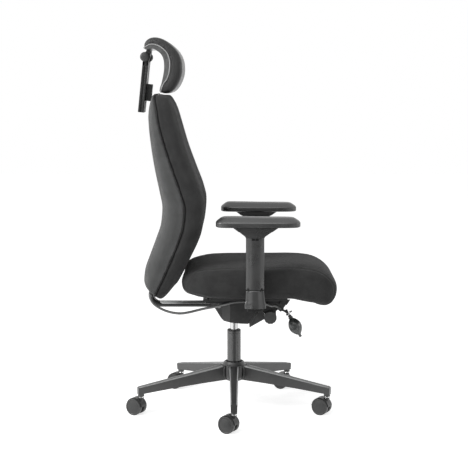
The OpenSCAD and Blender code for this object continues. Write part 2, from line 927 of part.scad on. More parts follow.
// The hose's route, as [x, front, height], from the valve's stub to the foot of the back
hose_route = [
  [-108, 167, 386], [-108, 155, 393], [-114, 144, 398], [-126, 131, 400], [-134, 118, 406],
  [-139, 104, 413], [-141, 88, 417], [-141, 60, 418], [-141, 30, 418], [-140, 0, 415],
  [-132, -28, 407], [-118, -52, 398], [-104, -78, 391], [-92, -105, 384], [-82, -132, 376],
  [-76, -160, 368], [-72, -188, 363], [-70, -214, 364], [-69, -240, 370], [-68, -264, 380],
  [-68, -286, 395], [-68, -298, 412], [-68, -301, 432]
];
hose_sides = 10;
hose_steps = 3;
function spline(a, b, c, d, t) =
  0.5 * (2 * b + (c - a) * t + (2 * a - 5 * b + 4 * c - d) * t * t + (3 * b - a - 3 * c + d) * t * t * t);
function route_point(i, t) =
  let (n = len(hose_route) - 1)
  spline(hose_route[max(i - 1, 0)], hose_route[i], hose_route[i + 1], hose_route[min(i + 2, n)], t);
hose_path = concat(
  [for (i = [0:len(hose_route) - 2], k = [0:hose_steps - 1]) route_point(i, k / hose_steps)],
  [hose_route[len(hose_route) - 1]]
);
function unit(v) = v / norm(v);
function hose_ring(i) =
  let (
    n = len(hose_path) - 1,
    along = unit(hose_path[min(i + 1, n)] - hose_path[max(i - 1, 0)]),
    side = unit(cross(along, [1, 0, 0])),
    other = cross(along, side),
    p = hose_path[i]
  )
  [
    for (k = [0:hose_sides - 1])
    let (a = 360 * k / hose_sides, q = p + hose_d / 2 * (cos(a) * side - sin(a) * other))
    [q[0], -q[1], q[2]]
  ];
module air_hose() {
  color(c_hose)
    skin([for (i = [0:len(hose_path) - 1]) hose_ring(i)]);
}

// Seat
pan_inset = 90;
pan_w = seat_w - 2 * pan_inset;
pan_rear = -88;
pan_front = 189;
pan_slope = 16;
channel_wall = 3;
channel_inset = 40;
channel_l = 180;
channel_lip = 1.7;
cushion_z = pan_z + pan_t + seat_gap;
// The cushion's sections, as shares: [length from the rear, top, underside, half width]
seat_shares = [
  [0, 0.5, 0.43, 0.6], [0.006, 0.63, 0.3, 0.72], [0.02, 0.73, 0.18, 0.8], [0.05, 0.82, 0.085, 0.87],
  [0.105, 0.915, 0.035, 0.925], [0.195, 0.98, 0.008, 0.967], [0.34, 1, 0, 0.99], [0.52, 1, 0, 1],
  [0.7, 1, 0, 1], [0.775, 0.993, -0.25, 0.99], [0.84, 0.965, -0.5, 0.97], [0.885, 0.91, -0.8, 0.94],
  [0.925, 0.82, -1, 0.9], [0.955, 0.71, -0.85, 0.86], [0.98, 0.58, -0.35, 0.8],
  [0.995, 0.46, 0.08, 0.72], [1, 0.38, 0.16, 0.64]
];
seat_points = 28;
seat_power = 0.42;
seat_belly_share = 0.45;
function seat_ring(s) =
  let (
    top = cushion_z + s[1] * seat_h,
    low = cushion_z + (s[2] < 0 ? s[2] * seat_lip : s[2] * seat_h),
    mid = between(low, top, seat_belly_share)
  )
  [
    for (i = [0:seat_points - 1])
    let (a = 360 * i / seat_points)
    [
      seat_w / 2 * s[3] * bow(cos(a), seat_power),
      seat_rear - s[0] * seat_l,
      mid + (sin(a) > 0 ? top - mid : mid - low) * bow(sin(a), seat_power)
    ]
  ];
module seat_cushion() {
  color(c_fabric)
    skin([for (s = seat_shares) seat_ring(s)]);
}
module seat_pan() {
  low = plate_z + plate_t + seat_gap;
  lip_top = plate_z + plate_t + fixed_fit + rail_h - rail_lip_t - slide_fit;
  rear = plate_rear + channel_inset;
  color(c_plastic) {
    x_plate(
      [
        [pan_rear, pan_z], [pan_front, pan_z], [pan_front, pan_z + pan_t],
        [pan_rear + pan_slope, pan_z + pan_t]
      ],
      pan_w
    );
    for (side = [-1, 1], wall = [-1, 1])
      mirrored(side)
        translate([rail_x, 0, 0])
          mirrored(wall) {
            inner = rail_w / 2 + slide_fit;
            block([inner, rear, low], [inner + channel_wall, rear + channel_l, pan_z]);
            block([inner - channel_lip, rear, low], [inner + channel_wall, rear + channel_l, lip_top]);
          }
  }
}

// Back
// The back's sections, as shares: [height, rear face, seam, front face, half width]
back_shares = [
  [0, 0.11, 0.155, 0.28, 0.7], [0.014, 0.072, 0.168, 0.345, 0.79], [0.04, 0.032, 0.2, 0.425, 0.86],
  [0.08, -0.005, 0.262, 0.52, 0.915], [0.139, 0.008, 0.355, 0.626, 0.955],
  [0.218, 0.094, 0.468, 0.756, 0.98], [0.298, 0.193, 0.575, 0.882, 0.993],
  [0.377, 0.278, 0.655, 0.967, 1], [0.456, 0.3, 0.678, 0.99, 1], [0.533, 0.255, 0.615, 0.938, 0.99],
  [0.631, 0.19, 0.502, 0.82, 0.965], [0.749, 0.129, 0.37, 0.68, 0.925],
  [0.865, 0.091, 0.265, 0.57, 0.87], [0.936, 0.083, 0.226, 0.503, 0.81],
  [0.971, 0.098, 0.202, 0.462, 0.755], [0.99, 0.13, 0.19, 0.43, 0.69], [1, 0.16, 0.188, 0.398, 0.62]
];
back_arc = 18;
cover_power = 0.5;
cushion_power = 0.52;
// How much thinner the front cushion is in the middle than at its sides
dish_share = 0.3;
function back_y(share) = back_rear - share * back_sweep;
function front_fill(c, s) = s * (1 - dish_share * (1 - c * c));
front_peak = max([
  for (i = [0:back_arc])
  let (a = 180 * i / back_arc)
  front_fill(bow(cos(a), cushion_power), bow(sin(a), cushion_power))
]);
function cover_ring(s) = [
  for (i = [0:back_arc])
  let (a = 180 * i / back_arc, seam = back_y(s[2]) + reveal / 2)
  [
    back_w / 2 * s[4] * bow(cos(a), cover_power),
    seam + (back_y(s[1]) - seam) * bow(sin(a), cover_power),
    back_z + s[0] * back_h
  ]
];
function cushion_ring(s) = [
  for (i = [back_arc:-1:0])
  let (
    a = -180 * i / back_arc, seam = back_y(s[2]) - reveal / 2,
    c = bow(cos(a), cushion_power), depth = seam - back_y(s[3])
  )
  [
    back_w / 2 * s[4] * c,
    seam - depth * front_fill(c, bow(-sin(a), cushion_power)) / front_peak,
    back_z + s[0] * back_h
  ]
];
// A thin slab that follows the seam between two rows, from one depth to another
function slab_ring(s, half, rear, front) =
  let (y = back_y(s[2]), z = back_z + s[0] * back_h)
  [[half, y - front, z], [half, y + rear, z], [-half, y + rear, z], [-half, y - front, z]];

// The bar: its upright follows the lower seam, which leans forward
lean_low = back_shares[3];
lean_high = back_shares[6];
bar_lean = atan2((lean_high[2] - lean_low[2]) * back_sweep, (lean_high[0] - lean_low[0]) * back_h);
bar_clear = 4;
bar_offset = reveal / 2 + bar_t / 2 + bar_clear;
// A point on the upright's centre line, as [front, height]
bar_ref = [
  -back_y(lean_low[2]) - bar_offset * cos(bar_lean),
  back_z + lean_low[0] * back_h + bar_offset * sin(bar_lean)
];
bar_turn = 90 + bar_lean;
bend_z = bar_z + bar_bend;
bend_front = bar_ref[0]
  + (bar_bend + (bend_z - bar_ref[1]) * sin(bar_lean)) / cos(bar_lean);
upright_l = 170;
upright_front = bend_front - bar_bend * sin(bar_turn);
upright_z = bend_z - bar_bend * cos(bar_turn);
bar_arc = 8;
bar_lap = 3;
bar_fit = 1;
board_gap = 0.5;
board_t = reveal - 2 * board_gap;
board_inset = 8;

// The bar's section, a flat bar with round edges, its thickness along X and its width along Y
module bar_section() {
  edge_y = (bar_w - bar_t) / 2;
  polygon([
    for (side = [-1, 1], i = [0:bar_arc])
    let (a = side * 90 - 90 + 180 * i / bar_arc)
    [bar_t / 2 * cos(a), side * edge_y + bar_t / 2 * sin(a)]
  ]);
}
// The room that the rear cover leaves for the bar's upright
module upright_room() {
  at_side(upright_front, upright_z)
    rotate([bar_lean, 0, 0])
      translate([-bar_w / 2 - bar_fit, -bar_t / 2 - bar_fit, -upright_l])
        cube([bar_w + 2 * bar_fit, bar_t + 2 * bar_fit, 2 * upright_l + bar_fit]);
}
module back_bar() {
  color(c_casting)
    difference() {
      union() {
        at_side(bend_front - bar_lap, bar_z)
          rotate([90, 0, 0])
            rotate([0, 0, 90])
              linear_extrude(pivot_front - bend_front + bar_lap)
                bar_section();
        translate([0, -bend_front, bend_z])
          rotate([0, 90, 0])
            rotate_extrude(angle = bar_turn)
              translate([bar_bend, 0])
                bar_section();
        at_side(upright_front, upright_z)
          rotate([bar_lean, 0, 0])
            translate([0, 0, -bar_lap])
              rotate([0, 0, 90])
                linear_extrude(upright_l + bar_lap)
                  bar_section();
        at_side(pivot_front, pivot_z)
          x_rod(barrel_d, barrel_w);
      }
      at_side(pivot_front, pivot_z)
        x_rod(pivot_d + 2 * running_fit, barrel_w + 2 * overrun);
    }
}
module back_board() {
  color(c_plastic)
    skin([
      for (s = back_shares)
      slab_ring(s, back_w / 2 * s[4] - board_inset, board_t / 2, board_t / 2)
    ]);
}
hose_end = hose_route[len(hose_route) - 1];
hose_fit = 0.8;
module back_rear_cover() {
  color(c_panel)
    difference() {
      skin([for (s = back_shares) cover_ring(s)]);
      upright_room();
      bracket_room();
      translate([hose_end[0], -hose_end[1], back_z - overrun])
        cylinder(d = hose_d + 2 * hose_fit, h = hose_end[2] - back_z + 2 * overrun);
    }
}
// The back's rows below the three that the bladder fills
rows_below_count = 7;
bladder_rows = [for (k = [0:2]) back_shares[rows_below_count + k]];
bladder_w = 180;
bladder_t = 9;
bladder_fit = 1;
// The bladder's three sections, as shares of its size
bladder_shares = [0.9, 1, 0.9];
bladder_inset_share = 0.1;
// A row part of the way from one of the back's rows to another
function back_row(a, b, share) = [for (c = [0:4]) between(a[c], b[c], share)];
bladder_parts = [
  back_row(bladder_rows[0], bladder_rows[1], bladder_inset_share),
  bladder_rows[1],
  back_row(bladder_rows[2], bladder_rows[1], bladder_inset_share)
];
module back_cushion() {
  color(c_fabric)
    difference() {
      skin([for (s = back_shares) cushion_ring(s)]);
      skin([
        for (row = bladder_rows)
        slab_ring(row, bladder_w / 2 + slide_fit, overrun, reveal / 2 + bladder_t + bladder_fit)
      ]);
    }
}
module lumbar_bladder() {
  color(c_hose)
    skin([
      for (k = [0:2])
      slab_ring(bladder_parts[k], bladder_w / 2 * bladder_shares[k], -board_t / 2 - seat_gap,
        reveal / 2 + bladder_t * bladder_shares[k])
    ]);
}

// Headrest
// The post's own frame has its pivot at the origin and its length along -Z
module head_frame() {
  at_side(-head_pivot_back, head_pivot_z)
    rotate([post_lean, 0, 0])
      children();
}
head_pivot_z = back_z + back_h + head_rise;
ear_t = 14;
ear_d = 30;
ear_gap = 2;
head_pin_d = 10;
cap_d = 37;
cap_t = 14;
post_slot_w = 14;
post_slot_inner = 24;
post_slot_depth = 9;
post_slot_lip = 4;
guide_low = 154;
guide_h = 60;
guide_w = 46;
guide_t = 19;
tongue_low = 150;
tongue_h = 14;
tongue_l = 12;
link_w = post_w - 2 * (ear_t + ear_gap);
link_len = 31;
link_d = 24;
link_lean = 18;
tilt_pin_d = 6;
tilt_knuckle_d = 15;
tilt_front = -head_pivot_back + link_len * sin(link_lean);
tilt_z = head_pivot_z + link_len * cos(link_lean);
lug_t = 8;
lug_sides = 12;
// The pin's ends sit in blind holes in the lugs
pin_end_wall = 3;
tilt_pin_l = link_w + 2 * (lug_t + seat_gap - pin_end_wall);
knuckle_room = 1;
// How far the headrest tilts back on its link
head_tilt = 20;

module headrest_post() {
  color(c_casting)
    head_frame()
      difference() {
        union() {
          translate([-post_w / 2, -post_t / 2, -post_l])
            cube([post_w, post_t, post_l - ear_d / 2 - ear_gap]);
          for (side = [-1, 1])
            translate([side * (post_w - ear_t) / 2, 0, 0]) {
              x_rod(ear_d, ear_t);
              translate([-ear_t / 2, -post_t / 2, -ear_d])
                cube([ear_t, post_t, ear_d]);
            }
        }
        translate([-post_slot_w / 2, -post_t / 2 - overrun, -post_l - overrun])
          cube([post_slot_w, post_slot_depth + overrun, post_l - ear_d]);
        translate([-post_slot_inner / 2, -post_t / 2 + post_slot_lip, -post_l - overrun])
          cube([post_slot_inner, post_slot_depth - post_slot_lip, post_l - ear_d]);
        x_rod(head_pin_d + 2 * fixed_fit, post_w + 2 * overrun);
      }
}
// The guide's block and the tongue that fastens it to the back, or the room that they need
module bracket_body(room = 0) {
  front = -post_t / 2 - slide_fit;
  head_frame() {
    translate([-guide_w / 2 - room, front - guide_t - room, -guide_low - room])
      cube([guide_w + 2 * room, guide_t + 2 * room, guide_h + 2 * room]);
    translate([-guide_w / 2 - room, front - guide_t - tongue_l - room, -tongue_low - room])
      cube([guide_w + 2 * room, guide_t + tongue_l, tongue_h + 2 * room]);
  }
}
module bracket_room() {
  bracket_body(seat_gap);
}
module headrest_bracket() {
  front = -post_t / 2 - slide_fit;
  key_l = post_slot_depth - post_slot_lip - 2 * slide_fit;
  color(c_plastic) {
    bracket_body();
    head_frame() {
      translate([-post_slot_w / 2 + slide_fit, front - guide_t / 2, -guide_low])
        cube([post_slot_w - 2 * slide_fit, guide_t / 2 + post_slot_depth - slide_fit, guide_h]);
      translate([-post_slot_inner / 2 + slide_fit, -post_t / 2 + post_slot_lip + slide_fit, -guide_low])
        cube([post_slot_inner - 2 * slide_fit, key_l, guide_h]);
    }
  }
}
module headrest_pin() {
  color(c_plastic)
    at_side(-head_pivot_back, head_pivot_z) {
      x_rod(head_pin_d, post_w + 2 * cap_t);
      for (side = [-1, 1])
        x_rod(cap_d, cap_t, side * (post_w / 2 + seat_gap + cap_t / 2));
    }
}
module headrest_link() {
  color(c_plastic)
    difference() {
      at_side(-head_pivot_back, head_pivot_z)
        rotate([link_lean, 0, 0]) {
          x_rod(link_d, link_w);
          translate([-link_w / 2, -tilt_knuckle_d / 2, 0])
            cube([link_w, tilt_knuckle_d, link_len]);
          translate([0, 0, link_len])
            x_rod(tilt_knuckle_d, link_w);
        }
      at_side(-head_pivot_back, head_pivot_z)
        x_rod(head_pin_d + 2 * running_fit, post_w);
      at_side(tilt_front, tilt_z)
        x_rod(tilt_pin_d + 2 * running_fit, post_w);
    }
}
module tilt_pin() {
  color(c_steel)
    at_side(tilt_front, tilt_z)
      x_rod(tilt_pin_d, tilt_pin_l);
}
// The headrest's section follows an arc, as shares of its depth and height from its lowest,
// rearmost corner: [rear face, then piping line, then front face], from the top end down
head_shares = [
  // [rear depth, rear height, seam depth, seam height, front depth, front height]
  [0.043, 0.797, 0.018, 0.844, 0.021, 0.901],
  [0.236, 0.807, 0.157, 0.909, 0.114, 0.977],
  [0.343, 0.763, 0.314, 0.891, 0.293, 1.01],
  [0.421, 0.714, 0.443, 0.833, 0.514, 0.964],
  [0.479, 0.651, 0.557, 0.75, 0.707, 0.865],
  [0.507, 0.578, 0.621, 0.661, 0.85, 0.755],
  [0.514, 0.5, 0.654, 0.557, 0.943, 0.62],
  [0.511, 0.417, 0.65, 0.448, 0.971, 0.469],
  [0.493, 0.333, 0.629, 0.349, 0.957, 0.328],
  [0.464, 0.234, 0.579, 0.255, 0.886, 0.188],
  [0.443, 0.172, 0.514, 0.193, 0.793, 0.078],
  [0.414, 0.109, 0.464, 0.125, 0.679, 0.008],
  [0.4, 0.057, 0.443, 0.062, 0.529, -0.005]
];
head_rear = 314;
head_drop = 127;
head_low = head_pivot_z - head_drop;
head_seam = 1;
// The sections across the headrest, as shares of its half width and of its thickness
head_row_shares = [
  [-1, 0.72], [-0.985, 0.86], [-0.94, 0.96], [-0.85, 1], [-0.45, 1], [0, 1],
  [0.45, 1], [0.85, 1], [0.94, 0.96], [0.985, 0.86], [1, 0.72]
];
shell_edge_share = 0.2;
// The first of each face's two columns in the table
rear_column = 0;
seam_column = 2;
front_column = 4;
function head_point(depth_share, height_share) =
  [head_rear - depth_share * head_depth, head_low + height_share * head_h];
function head_outline(inner, outer, shift, fill) =
  let (
    n = len(head_shares) - 1,
    a = [for (s = head_shares) head_point(s[inner], s[inner + 1])],
    b = [for (s = head_shares) head_point(s[outer], s[outer + 1])],
    near = [for (i = [0:n]) a[i] + shift * unit(b[i] - a[i])],
    far = [for (i = [0:n]) between(near[i], b[i], fill)]
  )
  concat(near, [for (i = [n:-1:0]) far[i]]);
module head_skin(inner, outer, shift, edge_share) {
  skin(
    [
      for (r = head_row_shares)
      let (fill = between(1, r[1], edge_share))
      [for (p = head_outline(inner, outer, shift, fill)) [-r[0] * head_w / 2, p[0], p[1]]]
    ],
    banded = true
  );
}
module headrest_shell() {
  lug_x = link_w / 2 + seat_gap + lug_t / 2;
  color(c_shell)
    difference() {
      union() {
        head_skin(rear_column, seam_column, 0, shell_edge_share);
        for (side = [-1, 1])
          translate([side * lug_x, 0, 0]) {
            at_side(tilt_front, tilt_z)
              x_rod(tilt_knuckle_d, lug_t, $fn = lug_sides);
            block([-lug_t / 2, tilt_front - tilt_knuckle_d / 2, tilt_z],
              [lug_t / 2, tilt_front + tilt_knuckle_d / 2, tilt_z + tilt_knuckle_d / 2]);
          }
      }
      at_side(tilt_front, tilt_z) {
        x_rod(tilt_pin_d + 2 * fixed_fit, tilt_pin_l + 2 * fixed_fit);
        x_rod(tilt_knuckle_d + 2 * knuckle_room, link_w + 2 * seat_gap, $fn = lug_sides);
        for (tilt = [0, head_tilt])
          rotate([link_lean + tilt, 0, 0])
            translate([-link_w / 2 - seat_gap, -tilt_knuckle_d / 2 - knuckle_room, -link_len])
              cube([link_w + 2 * seat_gap, tilt_knuckle_d + 2 * knuckle_room, link_len]);
      }
    }
}
module headrest_cushion() {
  color(c_fabric)
    head_skin(seam_column, front_column, head_seam, 1);
}

star_base();
caster_sleeves();
column_tube();
guide_bush();
thrust_bearing();
retaining_clip();
for (i = [0:leg_count - 1]) {
  caster_at(i) caster_stem();
  caster_at(i) caster_hood();
  caster_at(i) caster_wheels();
}
piston_rod();
gas_cylinder();
mechanism_housing();
seat_plate();
recline_pin();
recline_springs();
seat_rails();
arm_bracket();  // right_arm_bracket
left_arm() arm_bracket();  // left_arm_bracket
arm_socket();  // right_arm_socket
left_arm() arm_socket();  // left_arm_socket
height_lever();
tension_knob();
tension_spindle();
pump_bracket();
pump_valve();
pump_bulb();
release_button();
air_hose();
seat_pan();
seat_cushion();
back_bar();
back_board();
back_rear_cover();
back_cushion();
lumbar_bladder();
headrest_bracket();
headrest_post();
headrest_pin();
headrest_link();
tilt_pin();
headrest_shell();
headrest_cushion();
arm_post();  // right_arm_post
left_arm() arm_post();  // left_arm_post
arm_pad();  // right_arm_pad
left_arm() arm_pad();  // left_arm_pad
arm_button();  // right_arm_button
left_arm() arm_button();  // left_arm_button
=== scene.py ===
import bpy, bmesh, json
from contextlib import contextmanager
from math import copysign, cos, hypot, pi, radians as rad, sin, sqrt
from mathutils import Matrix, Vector
from mathutils.bvhtree import BVHTree
from mathutils.kdtree import KDTree


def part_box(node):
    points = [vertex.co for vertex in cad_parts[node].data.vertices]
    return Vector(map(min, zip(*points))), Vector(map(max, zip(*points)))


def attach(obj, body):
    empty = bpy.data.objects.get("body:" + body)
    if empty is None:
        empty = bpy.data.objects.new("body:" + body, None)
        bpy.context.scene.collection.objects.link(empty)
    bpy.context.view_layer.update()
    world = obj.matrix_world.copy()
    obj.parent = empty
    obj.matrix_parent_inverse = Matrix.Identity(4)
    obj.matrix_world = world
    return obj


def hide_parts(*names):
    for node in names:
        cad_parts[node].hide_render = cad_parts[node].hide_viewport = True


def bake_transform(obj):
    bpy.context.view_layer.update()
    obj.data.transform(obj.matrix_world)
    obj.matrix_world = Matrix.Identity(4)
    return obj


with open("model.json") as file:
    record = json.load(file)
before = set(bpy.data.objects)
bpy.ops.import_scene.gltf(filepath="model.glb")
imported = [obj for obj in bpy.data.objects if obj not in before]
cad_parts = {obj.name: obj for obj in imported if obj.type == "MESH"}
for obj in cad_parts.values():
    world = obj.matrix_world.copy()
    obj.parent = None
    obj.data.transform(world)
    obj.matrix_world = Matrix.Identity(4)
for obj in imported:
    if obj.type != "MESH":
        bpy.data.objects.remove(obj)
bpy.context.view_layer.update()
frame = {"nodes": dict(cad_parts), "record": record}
NODES = frame["nodes"]
BODY_OF = {n: b for b, ns in frame["record"]["behaviour"]["bodies"].items() for n in ns}
scene = bpy.context.scene
MM = 0.001
SIDES = ((-1, "right"), (1, "left"))


# Points are written as x, distance in front of the column axis, height, all in millimetres
def at(x, front, z):
    return Vector((x * MM, -front * MM, z * MM))


def link(name, data):
    obj = bpy.data.objects.new(name, data)
    scene.collection.objects.link(obj)
    return obj


def aim(obj, place, direction):
    obj.location = place
    obj.rotation_euler = direction.to_track_quat("-Z", "Y").to_euler()


# Camera at the photograph's angle
CAMERA_AT, CAMERA_DIP = Vector((-4.5, 0, 1.18)), 6.82
camera = link("camera", bpy.data.cameras.new("camera"))
camera.data.lens = 96.15
camera.data.sensor_width = 36
aim(camera, CAMERA_AT, Vector((cos(rad(CAMERA_DIP)), 0, -sin(rad(CAMERA_DIP)))))
scene.camera = camera


# Outline helpers
def bow(v, power):
    return copysign(abs(v) ** power, v)


# Cosine and sine round a circle, drawn toward the corners by powers below 1
def around(steps, across=1, along=1, turn=2 * pi, end=0):
    angles = [turn * i / steps for i in range(steps + end)]
    return [(bow(cos(a), across), bow(sin(a), along)) for a in angles]


# Points on a round corner, from an angle and over a sweep in degrees
def arc(x, y, radius, start, sweep, steps):
    angles = [rad(start + sweep * k / steps) for k in range(steps + 1)]
    return [(x + radius * cos(a), y + radius * sin(a)) for a in angles]


def spline(points, steps):
    pts = [Vector(p) for p in points]
    out = []
    n = len(pts) - 1
    for i in range(n):
        a, b, c, d = pts[max(i - 1, 0)], pts[i], pts[i + 1], pts[min(i + 2, n)]
        for k in range(steps):
            t = k / steps
            out.append(0.5 * (2 * b + (c - a) * t + (2 * a - 5 * b + 4 * c - d) * t * t
                              + (3 * b - a - 3 * c + d) * t * t * t))
    out.append(pts[n])
    return out


# Rows between the given ones, on a smooth line that never overshoots
def refine(rows, steps):
    out = [[hermite(rows, i, c, k / steps) for c in range(len(rows[0]))]
           for i in range(len(rows) - 1) for k in range(steps)]
    return out + [list(rows[-1])]


def hermite(pts, i, c, t):
    def slope(j):
        if j <= 0 or j >= len(pts) - 1:
            k = min(max(j, 0), len(pts) - 2)
            return (pts[k + 1][c] - pts[k][c]) / (pts[k + 1][0] - pts[k][0])
        a, b = pts[j][0] - pts[j - 1][0], pts[j + 1][0] - pts[j][0]
        sa, sb = (pts[j][c] - pts[j - 1][c]) / a, (pts[j + 1][c] - pts[j][c]) / b
        if sa * sb <= 0:
            return 0
        return 3 * (a + b) / ((2 * b + a) / sa + (b + 2 * a) / sb)
    if c == 0:
        return pts[i][0] + (pts[i + 1][0] - pts[i][0]) * t
    h = pts[i + 1][0] - pts[i][0]
    y0, y1, m0, m1 = pts[i][c], pts[i + 1][c], slope(i) * h, slope(i + 1) * h
    t2, t3 = t * t, t * t * t
    return ((2 * t3 - 3 * t2 + 1) * y0 + (t3 - 2 * t2 + t) * m0
            + (-2 * t3 + 3 * t2) * y1 + (t3 - t2) * m1)


def smooth(v):
    v = min(1.0, max(0.0, v))
    return v * v * (3 - 2 * v)


# Mesh helpers
@contextmanager
def editing(mesh):
    bm = bmesh.new()
    bm.from_mesh(mesh)
    yield bm
    bm.to_mesh(mesh)
    bm.free()


def mesh_object(name, verts, faces, rounded=True, sharp=None):
    mesh = bpy.data.meshes.new(name)
    mesh.from_pydata([tuple(v) for v in verts], [], faces)
    mesh.validate()
    with editing(mesh) as bm:
        bmesh.ops.recalc_face_normals(bm, faces=bm.faces)
    if rounded:
        mesh.shade_smooth()
    if sharp:
        mesh.set_sharp_from_angle(angle=rad(sharp))
    return link(name, mesh)


def loft(name, rings, caps=True, sharp=None):
    n, last = len(rings[0]), len(rings) - 1
    faces = [(i * n + j, i * n + (j + 1) % n, (i + 1) * n + (j + 1) % n, (i + 1) * n + j)
             for i in range(last) for j in range(n)]
    if caps:
        faces += [tuple(range(n))[::-1], tuple(range(last * n, last * n + n))]
    return mesh_object(name, [v for r in rings for v in r], faces, True, sharp)


NEAR_AXIS = 0.00002


# A closed form from an outline of radius and height in millimetres, turned round an axis
def lathe(name, profile, origin=Vector(), axis=Vector((0, 0, 1)), sides=64, sharp=35):
    turn = axis.normalized().to_track_quat("Z", "Y")
    rings = []
    for r, z in profile:
        r = max(r * MM, NEAR_AXIS)
        rings.append([origin + turn @ Vector((r * c, r * s, z * MM)) for c, s in around(sides)])
    return loft(name, rings, sharp=sharp)


# A rod along X, with its ends rounded by the given edge
def rod_x(name, front, z, radius, x_a, x_b, edge=0.0, sides=64):
    x_low, x_high = sorted((x_a, x_b))
    long, e = x_high - x_low, edge
    profile = [(radius - e, 0), (radius - e * 0.3, e * 0.3), (radius, e), (radius, long - e),
               (radius - e * 0.3, long - e * 0.3), (radius - e, long)]
    return lathe(name, profile if e else [(radius, 0), (radius, long)], at(x_low, front, z),
                 Vector((1, 0, 0)), sides, 50)


def tube_rings(path, radius, sides, closed):
    n = len(path)
    rings = []
    side = None
    for i, p in enumerate(path):
        if closed:
            along = (path[(i + 1) % n] - path[i - 1]).normalized()
        else:
            along = (path[min(i + 1, n - 1)] - path[max(i - 1, 0)]).normalized()
        side = side or along.orthogonal().normalized()
        side = (side - along * side.dot(along)).normalized()
        other = along.cross(side)
        r = radius[i] if isinstance(radius, list) else radius
        rings.append([p + r * (c * side + s * other) for c, s in around(sides)])
    return rings


def tube(name, path, radius, sides=12, closed=False):
    rings = tube_rings(path, radius, sides, closed)
    if not closed:
        return loft(name, rings)
    # The last ring meets the first at the turn that matches best
    first, last = rings[0], rings[-1]
    best = min(range(sides), key=lambda s: sum(
        (last[k] - first[(k + s) % sides]).length for k in range(sides)))
    rings.append([first[(k + best) % sides] for k in range(sides)])
    obj = loft(name, rings, caps=False)
    with editing(obj.data) as bm:
        bmesh.ops.remove_doubles(bm, verts=bm.verts, dist=1e-6)
    return obj


def bevel(obj, width, segments=3, angle=32):
    mod = obj.modifiers.new("bevel", "BEVEL")
    mod.width = width
    mod.segments = segments
    mod.limit_method = "ANGLE"
    mod.angle_limit = rad(angle)
    mod.miter_outer = "MITER_ARC"
    obj.modifiers.new("normals", "WEIGHTED_NORMAL").keep_sharp = False
    return obj


def apply_modifiers(obj):
    bpy.context.view_layer.update()
    graph = bpy.context.evaluated_depsgraph_get()
    mesh = bpy.data.meshes.new_from_object(obj.evaluated_get(graph))
    obj.modifiers.clear()
    old = obj.data
    obj.data = mesh
    bpy.data.meshes.remove(old)


# Takes the cutters' room out of a form
def cut(obj, *cutters, sharp=None):
    for cutter in cutters:
        mod = obj.modifiers.new("cut", "BOOLEAN")
        mod.operation = "DIFFERENCE"
        mod.solver = "EXACT"
        mod.object = cutter
    apply_modifiers(obj)
    for cutter in cutters:
        bpy.data.objects.remove(cutter, do_unlink=True)
    if sharp:
        obj.data.shade_smooth()
        obj.data.set_sharp_from_angle(angle=rad(sharp))


# A plate drawn in the side view as front and height, given thickness along X
def side_plate(name, outline, x_a, x_b, width=0.0012, segments=3):
    rings = [[at(x, f, z) for f, z in outline] for x in sorted((x_a, x_b))]
    return bevel(loft(name, rings), width, segments)


# The corners of a rectangle between two opposite ones
def corners(low, high):
    return [(low[0], low[1]), (high[0], low[1]), (high[0], high[1]), (low[0], high[1])]


def box(name, low, high, width=0.001, segments=3):
    return side_plate(name, corners(low[1:], high[1:]), low[0], high[0], width, segments)


# A point in the frame of a part that leans forward about a place in the side view
def leaning(place, lean, x, front, up):
    c, d = cos(rad(lean)), sin(rad(lean))
    return at(x, place[0] + front * c + up * d, place[1] - front * d + up * c)


def ride(obj, body, material):
    obj.data.materials.clear()
    obj.data.materials.append(material)
    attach(obj, body)


# Puts a piece in a CAD solid's place, on its body and in the given material
def dress(obj, node, material):
    ride(obj, BODY_OF[node], material)
    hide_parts(node)
    return obj


# A CAD solid with its edges rounded
def soften(node, width, material, angle=32, shape=None):
    mesh = NODES[node].data.copy()
    with editing(mesh) as bm:
        bmesh.ops.remove_doubles(bm, verts=bm.verts, dist=2e-6)
        bmesh.ops.dissolve_limit(bm, angle_limit=rad(0.8), verts=bm.verts, edges=bm.edges)
        if shape:
            shape(bm)
        bmesh.ops.recalc_face_normals(bm, faces=bm.faces)
    if "custom_normal" in mesh.attributes:
        mesh.attributes.remove(mesh.attributes["custom_normal"])
    mesh.shade_smooth()
    dress(bevel(link(node + "_skin", mesh), width, angle=angle), node, material)


# Material helpers
class Nodes:
    def __init__(self, tree):
        self.tree = tree

    def node(self, kind):
        return self.tree.nodes.new("ShaderNode" + kind)

    def put(self, socket, value):
        if hasattr(value, "is_output"):
            self.tree.links.new(value, socket)
        else:
            socket.default_value = value

    def math(self, op, a, b=0.0):
        n = self.node("Math")
        n.operation = op
        self.put(n.inputs[0], a)
        self.put(n.inputs[1], b)
        return n.outputs[0]

    # 1 for the camera and for what mirrors and glass show, 0 for light that falls on the object
    def seen(self):
        rays = self.node("LightPath").outputs
        return self.math("MAXIMUM", rays["Is Camera Ray"],
                         self.math("MAXIMUM", rays["Is Glossy Ray"], rays["Is Transmission Ray"]))


